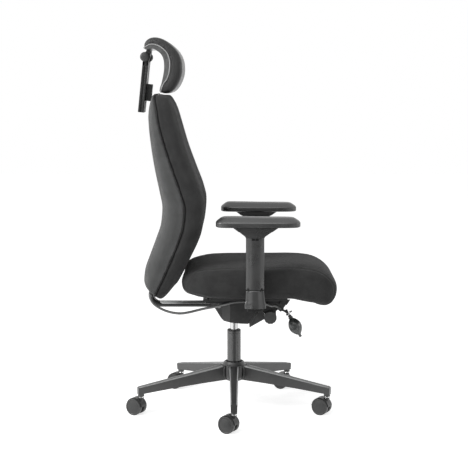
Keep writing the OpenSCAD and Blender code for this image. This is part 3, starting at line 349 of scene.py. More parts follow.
class Shader(Nodes):
    def __init__(self, name):
        self.mat = bpy.data.materials.new(name)
        self.mat.use_nodes = True
        super().__init__(self.mat.node_tree)
        self.bsdf = self.tree.nodes["Principled BSDF"]
        self.coords = self.node("TexCoord")

    # A plain value goes on the shader's own socket
    def surface(self, **values):
        for name, value in values.items():
            self.put(self.bsdf.inputs[name.replace("_", " ")], value)
        return self.mat

    def noise(self, scale, detail=2.0, rough=0.5):
        n = self.node("TexNoise")
        n.inputs["Scale"].default_value = scale
        n.inputs["Detail"].default_value = detail
        n.inputs["Roughness"].default_value = rough
        self.tree.links.new(self.coords.outputs["Object"], n.inputs["Vector"])
        return n.outputs["Fac"]

    def ramp(self, value, low, high):
        n = self.node("MapRange")
        n.interpolation_type = "SMOOTHSTEP"
        self.put(n.inputs["Value"], value)
        n.inputs["From Min"].default_value = low
        n.inputs["From Max"].default_value = high
        return n.outputs["Result"]

    def mix(self, factor, a, b):
        n = self.node("Mix")
        n.data_type = "RGBA"
        for socket, value in ((0, factor), (6, a), (7, b)):
            self.put(n.inputs[socket], value)
        return n.outputs[2]

    def bump(self, height, distance, strength, normal=None):
        n = self.node("Bump")
        n.inputs["Distance"].default_value = distance
        n.inputs["Strength"].default_value = strength
        self.put(n.inputs["Height"], height)
        if normal:
            self.tree.links.new(normal, n.inputs["Normal"])
        return n.outputs["Normal"]

    # Threads that cross over and under, in each of the three planes, weighed by the normal
    def weave(self, period):
        split, facing = self.node("SeparateXYZ"), self.node("SeparateXYZ")
        self.tree.links.new(self.coords.outputs["Object"], split.inputs[0])
        self.tree.links.new(self.coords.outputs["Normal"], facing.inputs[0])
        wave = [self.math("SINE", self.math("MULTIPLY", split.outputs[i], 2 * pi / period))
                for i in range(3)]
        total = None
        for i in range(3):
            weight = self.math("POWER", self.math("ABSOLUTE", facing.outputs[i]), 2.0)
            cross = self.math("MULTIPLY", wave[(i + 1) % 3], wave[(i + 2) % 3])
            part = self.math("MULTIPLY", cross, weight)
            total = self.math("ADD", total, part) if total else part
        return total


# Colours are a grey level with a tint. Most of the plastic is a little cool
PLAIN, COOL = (1, 1, 1), (0.985, 1.0, 0.995)


def grey(level, tint):
    return tuple(level * t for t in tint) + (1,)


def shade(color, gain, lift=0.0):
    return tuple(min(c * gain + lift, 1) for c in color[:3]) + (1,)


def fabric(name, dark, light, sheen, period=0.0016, rough=0.9, specular=0.25, tint=PLAIN):
    s = Shader(name)
    weave = s.weave(period)
    cloud = s.ramp(s.noise(scale=22, detail=4, rough=0.6), low=0.3, high=0.7)
    fleck = s.ramp(s.noise(scale=900, detail=2, rough=0.6), low=0.35, high=0.7)
    tone = s.math("ADD", s.math("MULTIPLY", s.math("ADD", weave, 1.0), 0.22),
                  s.math("ADD", s.math("MULTIPLY", cloud, 0.3), s.math("MULTIPLY", fleck, 0.3)))
    fine = s.bump(weave, distance=0.00025, strength=0.6)
    lumps = s.noise(scale=60, detail=3)
    return s.surface(
        Base_Color=s.mix(tone, grey(dark, tint), grey(light, tint)),
        Roughness=s.math("ADD", s.math("MULTIPLY", fleck, 0.1), rough - 0.05),
        Sheen_Weight=sheen, Sheen_Roughness=0.45, Specular_IOR_Level=specular,
        Normal=s.bump(lumps, distance=0.0012, strength=0.35, normal=fine))


# Moulded plastic or paint with soft patches, a fine grain and a painted highlight that lightens its
# convex edges in patches
def plastic(name, level, rough=0.5, grain=0.5, specular=0.5, coat=0.0, tint=COOL):
    s = Shader(name)
    color = grey(level, tint)
    patch = s.ramp(s.noise(scale=14, detail=3, rough=0.6), low=0.3, high=0.7)
    spark = s.noise(scale=1400)
    tone = s.math("ADD", s.math("MULTIPLY", patch, 0.35), s.math("MULTIPLY", spark, 0.3))
    body = s.mix(tone, shade(color, 0.85), shade(color, 1.35, 0.006))
    edge = s.node("NewGeometry").outputs["Pointiness"]
    uneven = s.ramp(s.noise(scale=60, detail=3, rough=0.6), low=0.4, high=0.7)
    # Painted highlight: convex edges are made much lighter, broken up by noise
    edge_highlight = s.math("MULTIPLY", s.ramp(edge, low=0.52, high=0.6), uneven)
    return s.surface(
        Base_Color=s.mix(s.math("MULTIPLY", edge_highlight, 0.25), body, shade(color, 2.0, 0.02)),
        Roughness=s.math("ADD", s.math("MULTIPLY", patch, 0.12), rough - 0.06),
        Specular_IOR_Level=specular, Coat_Weight=coat,
        Normal=s.bump(spark, distance=0.00012, strength=grain))


def metal(name, level, rough, brushed=0.0, edge=1.0):
    s = Shader(name)
    color = grey(level, PLAIN)
    tone = s.ramp(s.noise(scale=30, detail=4, rough=0.6), low=0.25, high=0.75)
    return s.surface(
        Base_Color=s.mix(tone, shade(color, 0.88), color), Metallic=1.0,
        Specular_Tint=(edge, edge, edge, 1),
        Roughness=s.math("ADD", s.math("MULTIPLY", tone, 0.08), rough - 0.04),
        Normal=s.bump(s.noise(scale=900, detail=1), distance=0.00005, strength=0.1 + brushed))


SEAT_CLOTH = fabric("seat cloth", 0.017, 0.055, 0.1)
BACK_CLOTH = fabric("back cloth", 0.021, 0.062, 0.1)
REAR_CLOTH = fabric("rear cloth", 0.046, 0.1, 0.3, tint=COOL)
HEAD_CLOTH = fabric("headrest cloth", 0.004, 0.013, 0.0, rough=0.32, specular=0.55)
# Light cloth for the headrest's piping, a painted highlight
PIPE_PAINTED_HIGHLIGHT = fabric("headrest piping painted highlight", 0.28, 0.5, 0.3, period=0.0009, rough=0.4)
# Near-black cloth for the welt in the back's seam, painted shade of the gap
SEAM_PAINTED_SHADE = fabric("seam", 0.003, 0.008, 0.0, period=0.0009)
SHELL = plastic("headrest shell", 0.09, 0.3, 0.3, specular=0.8, coat=0.4)
BLACK = plastic("black plastic", 0.036, 0.42)
GREY = plastic("grey plastic", 0.027, 0.3, 0.3, specular=1.0)
CASTING = plastic("base casting", 0.028, 0.35, 0.6, specular=0.8)
TUBE_PAINT = plastic("column paint", 0.032, 0.25, 0.15, specular=1.0)
STEEL_PAINT = plastic("painted steel", 0.02, 0.35, 0.3)
PAD_FOAM = plastic("arm pad foam", 0.026, 0.38, 0.6, specular=1.0)
BUTTON = plastic("button plastic", 0.02, 0.35, 0.2)
KNOB = plastic("knob plastic", 0.095, 0.45, 0.4)
WHEEL = plastic("wheel plastic", 0.038, 0.4, 0.4)
RUBBER = plastic("bulb rubber", 0.05, 0.25, 0.15, specular=0.8, tint=(0.9, 1.0, 0.97))
VINYL = plastic("hose vinyl", 0.13, 0.25, 0.1, coat=0.5)
BAR_PAINT = plastic("back bar paint", 0.022, 0.35, 0.2)
# Near white for the strip along the bar's top, a painted highlight
BAR_PAINTED_HIGHLIGHT = plastic("back bar painted highlight", 0.62, 0.3, 0.2)
POST_PAINT = plastic("headrest post paint", 0.022, 0.3, 0.2)
# A lighter copy of the pivot cap's plastic for the far cap, painted light
FAR_CAP_PAINTED_LIGHT = plastic("far pivot cap painted light", 0.2, 0.4, 0.3)
CAP = plastic("pivot cap", 0.05, 0.4, 0.4)
# Light grey for the rims along the legs' upper edges, a painted highlight
LEG_EDGE_PAINTED_HIGHLIGHT = plastic("leg rim painted highlight", 0.34, 0.35, 0.3)
PIN_LIGHT = plastic("pin head", 0.6, 0.3, 0.1, tint=PLAIN)
CLEAR = plastic("clear valve plastic", 0.55, 0.15, 0.1, coat=0.5, tint=PLAIN)
# Near black for the notches and the hub's dome, painted shade
PAINTED_SHADE = plastic("painted shade in recesses", 0.006, 0.7, 0.2, specular=0.2, tint=PLAIN)
CHROME = metal("chrome", 0.6, 0.08, edge=0.35)
ZINC = metal("zinc", 0.5, 0.3, 0.2)
SPRING = metal("spring steel", 0.25, 0.35, 0.2)

# The air hose, which runs from the pump's valve to the foot of the back
HOSE_D = 9
HOSE_ROUTE = [
    (-108, 167, 386), (-108, 155, 393), (-114, 144, 398), (-126, 131, 400), (-134, 118, 406),
    (-139, 104, 413), (-141, 88, 417), (-141, 60, 418), (-141, 30, 418), (-140, 0, 415),
    (-132, -28, 407), (-118, -52, 398), (-104, -78, 391), (-92, -105, 384), (-82, -132, 376),
    (-76, -160, 368), (-72, -188, 363), (-70, -214, 364), (-69, -240, 370), (-68, -264, 380),
    (-68, -286, 395), (-68, -298, 412), (-68, -301, 432)]
hose_path = spline([at(*p) for p in HOSE_ROUTE], 8)
hose = tube("air_hose_tube", hose_path, HOSE_D / 2 * MM, 16)
hose.data.materials.append(VINYL)
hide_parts("air_hose")
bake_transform(hose)


# Padded pieces
def seam_tree(seams):
    points = [p for s in seams for p in s]
    tree = KDTree(len(points))
    for i, p in enumerate(points):
        tree.insert(p, i)
    tree.balance()
    return tree


def relax(bm, verts):
    bmesh.ops.smooth_vert(bm, verts=verts, factor=0.5, use_axis_x=True, use_axis_y=True,
                          use_axis_z=True)


CLOTH = {"quality": 4, "mass": 0.3, "use_pressure": True, "uniform_pressure_force": 4.0,
         "tension_stiffness": 12, "compression_stiffness": 12, "shear_stiffness": 6,
         "bending_stiffness": 0.4, "vertex_group_mass": "held"}
CLOTH_FRAMES, CLOTH_INSET, PINNED = 20, 0.0005, 0.3


# Cloth simulation that fills a padded form from inside. Points near a seam, and those that
# hold picks, stay where they are
def puff(obj, seams, voxel, cap, seam_reach, hold=None):
    remesh = obj.modifiers.new("remesh", "REMESH")
    remesh.mode = "VOXEL"
    remesh.voxel_size = voxel
    remesh.use_smooth_shade = True
    apply_modifiers(obj)
    mesh = obj.data
    start = [v.co - v.normal * CLOTH_INSET for v in mesh.vertices]
    for v, co in zip(mesh.vertices, start):
        v.co = co
    tree = seam_tree(seams)
    held = [1.0 if hold and hold(co) else max(0.0, 1.0 - tree.find(co)[2] / seam_reach)
            for co in start]
    group = obj.vertex_groups.new(name="held")
    group.add([i for i, w in enumerate(held) if w > PINNED], 1.0, "REPLACE")
    cloth = obj.modifiers.new("cloth", "CLOTH")
    for name, value in CLOTH.items():
        setattr(cloth.settings, name, value)
    cloth.settings.effector_weights.gravity = 0
    cloth.point_cache.frame_start = 1
    cloth.point_cache.frame_end = CLOTH_FRAMES
    for f in range(CLOTH_FRAMES):
        scene.frame_set(f + 1)
    graph = bpy.context.evaluated_depsgraph_get()
    done = obj.evaluated_get(graph).to_mesh()
    ends = [v.co.copy() for v in done.vertices]
    obj.evaluated_get(graph).to_mesh_clear()
    obj.modifiers.clear()
    obj.vertex_groups.clear()
    for v, a, b in zip(mesh.vertices, start, ends):
        step = b - a
        if step.length > cap:
            step = step * (cap / step.length)
        v.co = a + step
    scene.frame_set(1)
    with editing(mesh) as bm:
        bm.verts.ensure_lookup_table()
        loose = [bm.verts[i] for i, w in enumerate(held) if w < PINNED]
        for verts in (list(bm.verts), loose, loose):
            relax(bm, verts)
    mesh.shade_smooth()


# Presses a groove into a form along a seam, after it is filled
def groove(obj, seams, width, depth):
    tree = seam_tree(seams)
    for v in obj.data.vertices:
        d = tree.find(v.co)[2]
        if d < width:
            v.co -= v.normal * depth * (0.5 + 0.5 * cos(pi * d / width))
    obj.data.update()


def finish_pad(obj, node, material):
    mod = obj.modifiers.new("subdivision", "SUBSURF")
    mod.levels = mod.render_levels = 1
    apply_modifiers(obj)
    obj.data.shade_smooth()
    dress(obj, node, material)


def form_tree(obj):
    bm = bmesh.new()
    bm.from_mesh(obj.data)
    tree = BVHTree.FromBMesh(bm)
    bm.free()
    return tree


# Seat cushion, in rows of length, top, underside and half width, all as shares
SEAT_W, SEAT_L, SEAT_REAR, SEAT_H, SEAT_LIP, SEAT_LOW = 486, 550, 187, 118, 33, 436.3
SEAT_ROWS = [
    (0, 0.5, 0.43, 0.6), (0.006, 0.63, 0.3, 0.72), (0.02, 0.73, 0.18, 0.8),
    (0.05, 0.82, 0.085, 0.87), (0.105, 0.915, 0.035, 0.925), (0.195, 0.98, 0.008, 0.967),
    (0.34, 0.995, 0, 0.99), (0.52, 0.995, 0, 1), (0.7, 1, 0, 1), (0.775, 0.993, -0.25, 0.99),
    (0.84, 0.965, -0.5, 0.97), (0.885, 0.91, -0.8, 0.94), (0.925, 0.82, -1, 0.9),
    (0.955, 0.71, -0.85, 0.86), (0.98, 0.58, -0.35, 0.8), (0.995, 0.46, 0.08, 0.72),
    (1, 0.38, 0.16, 0.64)]
SEAT_SEAM = [
    (-163, 470), (-157, 488), (-148, 507), (-135, 527), (-117, 538), (-60, 543), (-5, 546),
    (107, 546.5), (210, 547), (250, 544), (279, 539), (303, 530), (321, 518), (336, 504),
    (346, 489), (351, 472), (350, 455), (344, 440), (334, 426)]
# The share of the height at which it is widest, how square a section is, and a place beside it
WIDEST, SEAT_POWER, BESIDE = 0.45, 0.42, 600
# Where the pan holds the underside, and where the underside is pressed flat, in metres
HELD_Y, FLAT_Y, FLAT_X, FLAT_Z = (-0.2, 0.12), (-0.195, 0.1), 0.21, 0.02


def seat_form(name):
    rings = []
    for length, top, low, half in refine(SEAT_ROWS, 4):
        zt = SEAT_LOW + top * SEAT_H
        zl = SEAT_LOW + (low * SEAT_LIP if low < 0 else low * SEAT_H)
        zm = zl + (zt - zl) * WIDEST
        rings.append([at(SEAT_W / 2 * half * c, length * SEAT_L - SEAT_REAR,
                         zm + ((zt - zm) if s > 0 else (zm - zl)) * s)
                      for c, s in around(72, SEAT_POWER, SEAT_POWER)])
    return loft(name, rings)


# A line drawn in the side view, laid on the form's side
def side_seam(tree, points, side):
    found = [tree.ray_cast(at(side * BESIDE, p[1], p[2]), Vector((-side, 0, 0)))[0]
             for p in spline([Vector((0, f, z)) for f, z in points], 8)]
    return [p for p in found if p]


def seat_floor(co):
    return co.z < (SEAT_LOW + 1.5) * MM and HELD_Y[0] < co.y < HELD_Y[1]


def over_pan(co):
    return (FLAT_Y[0] < co.y < FLAT_Y[1] and abs(co.x) < FLAT_X
            and co.z < SEAT_LOW * MM + FLAT_Z)


seat = seat_form("seat_pad")
seat_sides = form_tree(seat)
seat_seams = [side_seam(seat_sides, SEAT_SEAM, side) for side, _ in SIDES]
puff(seat, seat_seams, voxel=0.006, cap=0.004, seam_reach=0.009, hold=seat_floor)
groove(seat, seat_seams, width=0.007, depth=0.0025)
finish_pad(seat, "seat_cushion", SEAT_CLOTH)
# The underside lies flat on the seat pan
for v in seat.data.vertices:
    if over_pan(v.co):
        v.co.z = max(v.co.z, SEAT_LOW * MM)

# Back, in rows of height, rear, seam, front and half width, all as shares
BACK_Z, BACK_H, BACK_REAR, BACK_SWEEP, BACK_W, REVEAL = 422, 724, 317, 219, 468, 5
BACK_ROWS = [
    (0, 0.11, 0.155, 0.28, 0.7), (0.014, 0.072, 0.168, 0.345, 0.79),
    (0.04, 0.032, 0.2, 0.425, 0.86), (0.08, -0.005, 0.262, 0.52, 0.915),
    (0.139, 0.008, 0.355, 0.626, 0.955), (0.218, 0.094, 0.468, 0.756, 0.98),
    (0.298, 0.193, 0.575, 0.882, 0.993), (0.377, 0.278, 0.655, 0.967, 1),
    (0.456, 0.3, 0.678, 0.99, 1), (0.533, 0.255, 0.615, 0.938, 0.99),
    (0.631, 0.19, 0.502, 0.82, 0.965), (0.749, 0.129, 0.37, 0.68, 0.925),
    (0.865, 0.091, 0.265, 0.57, 0.87), (0.936, 0.083, 0.226, 0.503, 0.81),
    (0.971, 0.098, 0.202, 0.462, 0.755), (0.99, 0.13, 0.19, 0.43, 0.69),
    (1, 0.16, 0.188, 0.398, 0.62)]
DISH, BACK_ARC, COVER_POWER, PAD_POWER, PEAK_POWER = 0.3, 40, 0.5, 0.62, 0.52
# The foot's slope passes through a point, and narrows and softens what it cuts
FOOT_FRONT, FOOT_Z, FOOT_SLOPE, FOOT_PINCH, FOOT_SOFT = -269, 438.5, 0.92, 0.25, 0.006


def back_front(share):
    return share * BACK_SWEEP - BACK_REAR


def front_fill(c, s):
    return s * (1 - DISH * (1 - c * c))


FRONT_PEAK = max(front_fill(c, s) for c, s in around(36, PEAK_POWER, PEAK_POWER, pi, 1))


def back_form(name, cover):
    power = COVER_POWER if cover else PAD_POWER
    arch = [(c, s if cover else front_fill(c, s) / FRONT_PEAK)
            for c, s in around(BACK_ARC, power, power, pi, 1)]
    rings = []
    for height, rear, seam, front, half in refine(BACK_ROWS, 5):
        f0 = back_front(seam) + (1 - REVEAL / 2 if cover else REVEAL / 2 - 2)
        reach = back_front(rear if cover else front) - f0
        rings.append([at(BACK_W / 2 * half * c, f0 + reach * s, BACK_Z + height * BACK_H)
                      for c, s in arch])
    return loft(name, rings)


# The back's foot is cut on a slope above the bar's bend
def foot_line(co):
    return (FOOT_Z - FOOT_SLOPE * (-co.y / MM - FOOT_FRONT)) * MM


def cut_foot(points):
    for p in points:
        lift = foot_line(p) - p.z
        if lift > 0:
            p.z += lift
            p.x *= 1 - min(FOOT_PINCH, lift * 5)
    return points


def trim_foot(obj):
    cut_foot([v.co for v in obj.data.vertices])
    with editing(obj.data) as bm:
        low = [v for v in bm.verts if v.co.z < foot_line(v.co) + FOOT_SOFT]
        for _ in range(3):
            relax(bm, low)
    obj.data.update()


# The line round the back's edge, on the cushion's or the cover's side
def back_edge(offset, inset=0, steps=4):
    path = []
    for side in (1, -1):
        part = [at(side * (BACK_W / 2 * r[4] - inset), back_front(r[2]) + offset,
                   BACK_Z + r[0] * BACK_H) for r in refine(BACK_ROWS, steps)]
        path += part if side > 0 else part[::-1]
    return path


for name, node, cover, material in (
        ("back_cover_cloth", "back_rear_cover", True, REAR_CLOTH),
        ("back_pad", "back_cushion", False, BACK_CLOTH)):
    form = back_form(name, cover)
    seam = back_edge((-1 if cover else 1) * (REVEAL / 2 + 1))
    puff(form, [seam], voxel=0.005, cap=0.003, seam_reach=0.010)
    trim_foot(form)
    finish_pad(form, node, material)

# The board between the halves shows as a dark edge, with a near-black welt on it that paints the
# shade in the gap between the halves
BOARD_HALF_T, BOARD_INSET, BOARD_FROM, BOARD_TO = 2, 4, 0.008, 0.99
board_rings = []
for height, _, seam, _, half in refine(BACK_ROWS, 4):
    x, f = BACK_W / 2 * half - BOARD_INSET, back_front(seam)
    z = BACK_Z + min(max(height, BOARD_FROM), BOARD_TO) * BACK_H
    board_rings.append(cut_foot([at(side, f + out, z) for side, out in (
        (x, BOARD_HALF_T), (x, -BOARD_HALF_T), (-x, -BOARD_HALF_T), (-x, BOARD_HALF_T))]))
dress(bevel(loft("back_board_edge", board_rings), 0.0005, 1), "back_board", BLACK)
welt = tube("back_welt_painted_shade", cut_foot(back_edge(0.6, 1.4, 6)), 0.0016, 8, closed=True)
ride(welt, "back", SEAM_PAINTED_SHADE)

# Headrest, in rows of depth and height of the shell's rear, the seam and the pad's front
HEAD_W, HEAD_H, HEAD_DEPTH, HEAD_REAR, HEAD_LOW = 270, 192, 140, 314, 1150
HEAD_ROWS = [
    (0.043, 0.787, 0.018, 0.812, 0.021, 0.901), (0.236, 0.797, 0.157, 0.872, 0.114, 0.977),
    (0.343, 0.758, 0.314, 0.868, 0.293, 1.01), (0.421, 0.714, 0.443, 0.823, 0.514, 0.964),
    (0.479, 0.651, 0.557, 0.75, 0.707, 0.865), (0.507, 0.578, 0.621, 0.661, 0.85, 0.755),
    (0.514, 0.5, 0.654, 0.557, 0.943, 0.62), (0.511, 0.417, 0.65, 0.448, 0.971, 0.469),
    (0.493, 0.333, 0.629, 0.349, 0.957, 0.328), (0.464, 0.234, 0.579, 0.255, 0.886, 0.188),
    (0.443, 0.172, 0.514, 0.193, 0.793, 0.078), (0.414, 0.109, 0.464, 0.125, 0.679, 0.008),
    (0.4, 0.057, 0.434, 0.058, 0.529, -0.005), (0.396, 0.035, 0.425, 0.022, 0.48, -0.012)]
HEAD_ACROSS = [(-1, 0.72), (-0.985, 0.86), (-0.94, 0.96), (-0.85, 1), (-0.45, 1), (0, 1),
               (0.45, 1), (0.85, 1), (0.94, 0.96), (0.985, 0.86), (1, 0.72)]
REAR_LINE, SEAM_LINE, FRONT_LINE = 0, 2, 4


def head_line(column, steps):
    return spline([Vector((0, r[column] * HEAD_DEPTH - HEAD_REAR,
                           HEAD_LOW + r[column + 1] * HEAD_H)) for r in HEAD_ROWS], steps)


# A form between two lines of the side view, fuller in its middle than at its ends
def head_form(name, inner, outer, shift, edge_share):
    a, b = head_line(inner, 3), head_line(outer, 3)
    near = [p + (q - p).normalized() * shift for p, q in zip(a, b)]
    rings = []
    for across, full in refine(HEAD_ACROSS, 3):
        fill = 1 + (full - 1) * edge_share
        far = [p + (q - p) * fill for p, q in zip(near, b)]
        rings.append([at(across * HEAD_W / 2, p[1], p[2]) for p in near + far[::-1]])
    return loft(name, rings)


head = head_form("headrest_pad", SEAM_LINE, FRONT_LINE, -5.0, 1.0)
seam_fine = head_line(SEAM_LINE, 8)
head_seams = [[at(side * HEAD_W / 2, p[1], p[2]) for p in seam_fine] for side, _ in SIDES]
puff(head, head_seams, voxel=0.005, cap=0.004, seam_reach=0.008)
finish_pad(head, "headrest_cushion", HEAD_CLOTH)

# The headrest's shell, with room for the link at rest and tilted
PIVOT, POST_LEAN, POST_W, POST_T, POST_L = (-310, 1277), 6, 104, 21, 196
LINK_W, LINK_L, LINK_LEAN, KNUCKLE, LINK_FREE = 72, 31, 18, 15, 1.2
TILT = Vector((PIVOT[0] + LINK_L * sin(rad(LINK_LEAN)), PIVOT[1] + LINK_L * cos(rad(LINK_LEAN))))
room_x, room_r = LINK_W / 2 + 0.5, KNUCKLE / 2 + LINK_FREE
rooms = [
    loft("room", [[leaning(TILT, LINK_LEAN + tilt, x, f, u)
                   for f, u in corners((-half, -LINK_L), (half, top))] for x in (-room_x, room_x)])
    for half, top in ((room_r, 0), (11.8, -9)) for tilt in (0, 10, 20)]
rooms.append(rod_x("room", TILT[0], TILT[1], room_r, -room_x, room_x, sides=32))
shell = head_form("headrest_shell_skin", REAR_LINE, SEAM_LINE, 0, 0.2)
cut(shell, *rooms, sharp=40)
dress(bevel(shell, 0.0012, 2, 50), "headrest_shell", SHELL)
LUG_R, LUG_TOP, LUG_HALF_T, LUG_OUT = 7.5, 9, 4, 4.5
for side, label in SIDES:
    x = side * (LINK_W / 2 + LUG_OUT)
    outline = arc(TILT[0], TILT[1], LUG_R, 180, 180, 9) + [
        (TILT[0] + LUG_R, TILT[1] + LUG_TOP), (TILT[0] - LUG_R, TILT[1] + LUG_TOP)]
    lug = side_plate("headrest_lug_" + label[0], outline, x - LUG_HALF_T, x + LUG_HALF_T, 0.0008)
    dress(lug, "headrest_shell", SHELL)

# Piping round the seam between the shell and the pad, coloured light as a painted highlight along
# the seam
PIPE_R, PIPE_OUT, PIPE_STEPS = 0.0019, 0.8, 12
pipe_half = HEAD_W / 2 + PIPE_OUT / 2
bottom, top = seam_fine[-1], seam_fine[0]
across = [pipe_half * k / PIPE_STEPS for k in range(1 - PIPE_STEPS, PIPE_STEPS)]
pipe = [at(-pipe_half, p[1], p[2]) for p in seam_fine]
pipe += [at(x, bottom[1], bottom[2] - PIPE_OUT) for x in across]
pipe += [at(pipe_half, p[1], p[2]) for p in seam_fine[::-1]]
pipe += [at(-x, top[1] - PIPE_OUT, top[2] + PIPE_OUT) for x in across]
ride(tube("headrest_piping", pipe, PIPE_R, 10, closed=True), "headrest", PIPE_PAINTED_HIGHLIGHT)

# Arm pads, in rows of height and inset. The left arm stands a little further forward
PAD_TOP, PAD_H, PAD_L, PAD_W, ARM_X, ARM_FRONT = 734, 35, 288, 94, 272, 72
ARM_SHIFT = {"right": 0, "left": 12}
PAD_ROWS = [(0, 0.16), (0.05, 0.04), (0.12, 0), (0.42, 0), (0.5, 0.04), (0.6, 0.14), (0.78, 0.38),
            (0.92, 0.6), (0.98, 0.78), (1, 1.0)]
PAD_RISE, PAD_DISH, PAD_DISH_HALF = 0.1, 1.5, PAD_W * 0.3


def pad_form(name, x, front):
    rings = []
    for height, inset in refine(PAD_ROWS, 3):
        rx, rf = PAD_W / 2 - inset * PAD_H, PAD_L / 2 - inset * PAD_H
        ring = []
        for c, s in around(96, 0.55, 0.36):
            # The top rises a little toward the rear and is dished along its middle
            share = height + PAD_RISE * height ** 2 * max(0.0, -rf * s / (PAD_L / 2))
            dish = PAD_DISH * height ** 4 * (1 - min(1, abs(c * rx) / PAD_DISH_HALF) ** 2)
            ring.append(at(x + rx * c, front + rf * s, PAD_TOP - PAD_H + share * PAD_H - dish))
        rings.append(ring)
    return loft(name, rings, sharp=60)


for side, label in SIDES:
    pad = pad_form(label + "_pad_skin", side * ARM_X, ARM_FRONT + 10 + ARM_SHIFT[label])
    dress(pad, label + "_arm_pad", PAD_FOAM)

# Arms: the outer face of the post is rounded, and the socket's has a flat band between two slopes
ARM_HALF, ARM_T, ARM_CORNER, FACE_STEPS, POST_ROUND, SOCKET_ROUND = 31.5, 32, 5.0, 48, 5.5, 6.5
POST_TOP = PAD_TOP - PAD_H - 0.3
UPRIGHT_W, UPRIGHT_T, UPRIGHT_LOW, UPRIGHT_TOP, UPRIGHT_FREE = 46, 12, 470, 640, 0.3
# Height and how far the ring is wider than the post
POST_ROWS = [(481.4, -2.2), (482.0, -0.9), (483.6, 0), (520, 0), (600, 0), (648, 0), (664, 0),
             (684, 0)]
# Height, reach to the rear and to the front, and how far the ring is thicker than the arm
SOCKET_ROWS = [
    (417.0, 34.6, 36.6, -1.0), (417.7, 35.4, 37.6, 0), (428, 35.4, 37.2, 0),
    (439.5, 35.2, 36.2, 0), (441.5, 32.8, 35.0, -0.6), (450, 32.4, 33.8, 0), (460, 32, 32.8, 0),
    (470, 31.6, 31.8, 0), (477.6, 31.5, 31.5, 0), (479.6, 30.9, 30.9, -1.0),
    (481.0, 29.2, 29.2, -3.0)]
# The post's face goes flat up to this height, over this length
YOKE_TO, YOKE_FADE = 690, 40
# Half thickness, rounding and outline
YOKES = {
    "low": (17, 0.0022, [(40.3, 662), (103.7, 662), (107, 667), (131, 683.5), (16, 683.5),
                         (37, 667)]),
    "high": (21, 0.003, [(16.4, 682), (130.2, 682), (154, POST_TOP), (-6, POST_TOP)])}
# Name, part, rear, front, lower and upper edge, and rounding of the near-black boxes that paint the
# shade in the notches
NOTCHES = (("button_notch_shade_0", "button", 60.5, 71.5, 652.5, 660, 0.0008),
           ("button_notch_shade_1", "button", 72.5, 83.5, 652.5, 660, 0.0008),
           ("joint_nick_shade_0", "post", 40.6, 50, 481.2, 484.6, 0.0006),
           ("joint_nick_shade_1", "post", 93, 102.6, 481.2, 484.6, 0.0006))


def round_face(u):
    return u * u


def banded_face(u):
    return smooth((abs(u + 0.03) - 0.2) / 0.85)


def arm_ring(side, z, rear, front, depth, face, wider):
    thick, c = ARM_T + 2 * wider, ARM_CORNER
    outer, inner = -ARM_X - thick / 2, -ARM_X + thick / 2
    edge, mid, half = outer + depth, (front - rear) / 2 + ARM_FRONT, (front + rear) / 2
    ring = arc(inner - c, mid + half - c, c, 0, 90, 8) + arc(edge + c, mid + half - c, c, 90, 80, 8)
    for k in range(1, FACE_STEPS):
        u = 1 - 2 * k / FACE_STEPS
        ring.append((outer + depth * face(u), mid + (half - c * 0.8) * u))
    ring += arc(edge + c, mid - half + c, c, 190, 80, 8)
    ring += arc(inner - c, mid - half + c, c, 270, 90, 8)
    ring = [at(-side * x, f, z) for x, f in ring]
    return ring if side < 0 else ring[::-1]


def on_arm(obj, label, part, material):
    for v in obj.data.vertices:
        v.co.y -= ARM_SHIFT[label] * MM
    dress(obj, f"{label}_arm_{part}", material)


for side, label in SIDES:
    mid_x, out = side * ARM_X, side * (ARM_X + ARM_T / 2)
    post = loft(label + "_post_skin", [
        arm_ring(side, z, ARM_HALF + g, ARM_HALF + g,
                 POST_ROUND * smooth((YOKE_TO - z) / YOKE_FADE) + 0.2, round_face, g)
        for z, g in POST_ROWS], sharp=50)
    low = (mid_x - UPRIGHT_T / 2, ARM_FRONT - UPRIGHT_W / 2, UPRIGHT_LOW)
    high = (mid_x + UPRIGHT_T / 2, ARM_FRONT + UPRIGHT_W / 2, UPRIGHT_TOP)
    cut(post, box("room", (low[0] - UPRIGHT_FREE, low[1] - UPRIGHT_FREE, low[2]),
                  [v + UPRIGHT_FREE for v in high], 0.0003), sharp=50)
    on_arm(post, label, "post", GREY)
    on_arm(box(label + "_upright", low, high), label, "socket", STEEL_PAINT)
    for name, (half, width, outline) in YOKES.items():
        on_arm(side_plate(f"{label}_yoke_{name}", outline, mid_x - half, mid_x + half, width),
               label, "post", GREY)
    socket = loft(label + "_socket_skin", [
        arm_ring(side, z, rear, front, SOCKET_ROUND, banded_face, g)
        for z, rear, front, g in SOCKET_ROWS], sharp=50)
    on_arm(socket, label, "socket", GREY)
    # The button, with two finger notches at its foot, and a notch at each side of the joint; the
    # notches are near-black boxes, painted shade
    on_arm(box(label + "_button_face", (out, 59.5, 660), (out - side * 6, 84.5, 677), 0.0012),
           label, "button", BUTTON)
    on_arm(box(label + "_button_foot", (out - side * 1.2, 60.5, 653),
               (out - side * 4.8, 83.5, 661), 0.0008), label, "button", BUTTON)
    for name, part, rear, front, z_low, z_high, width in NOTCHES:
        on_arm(box(f"{label}_{name}", (out + side * 0.2, rear, z_low),
                   (out - side * 3, front, z_high), width, 2), label, part, PAINTED_SHADE)
    soften(label + "_arm_bracket", 0.001, STEEL_PAINT)

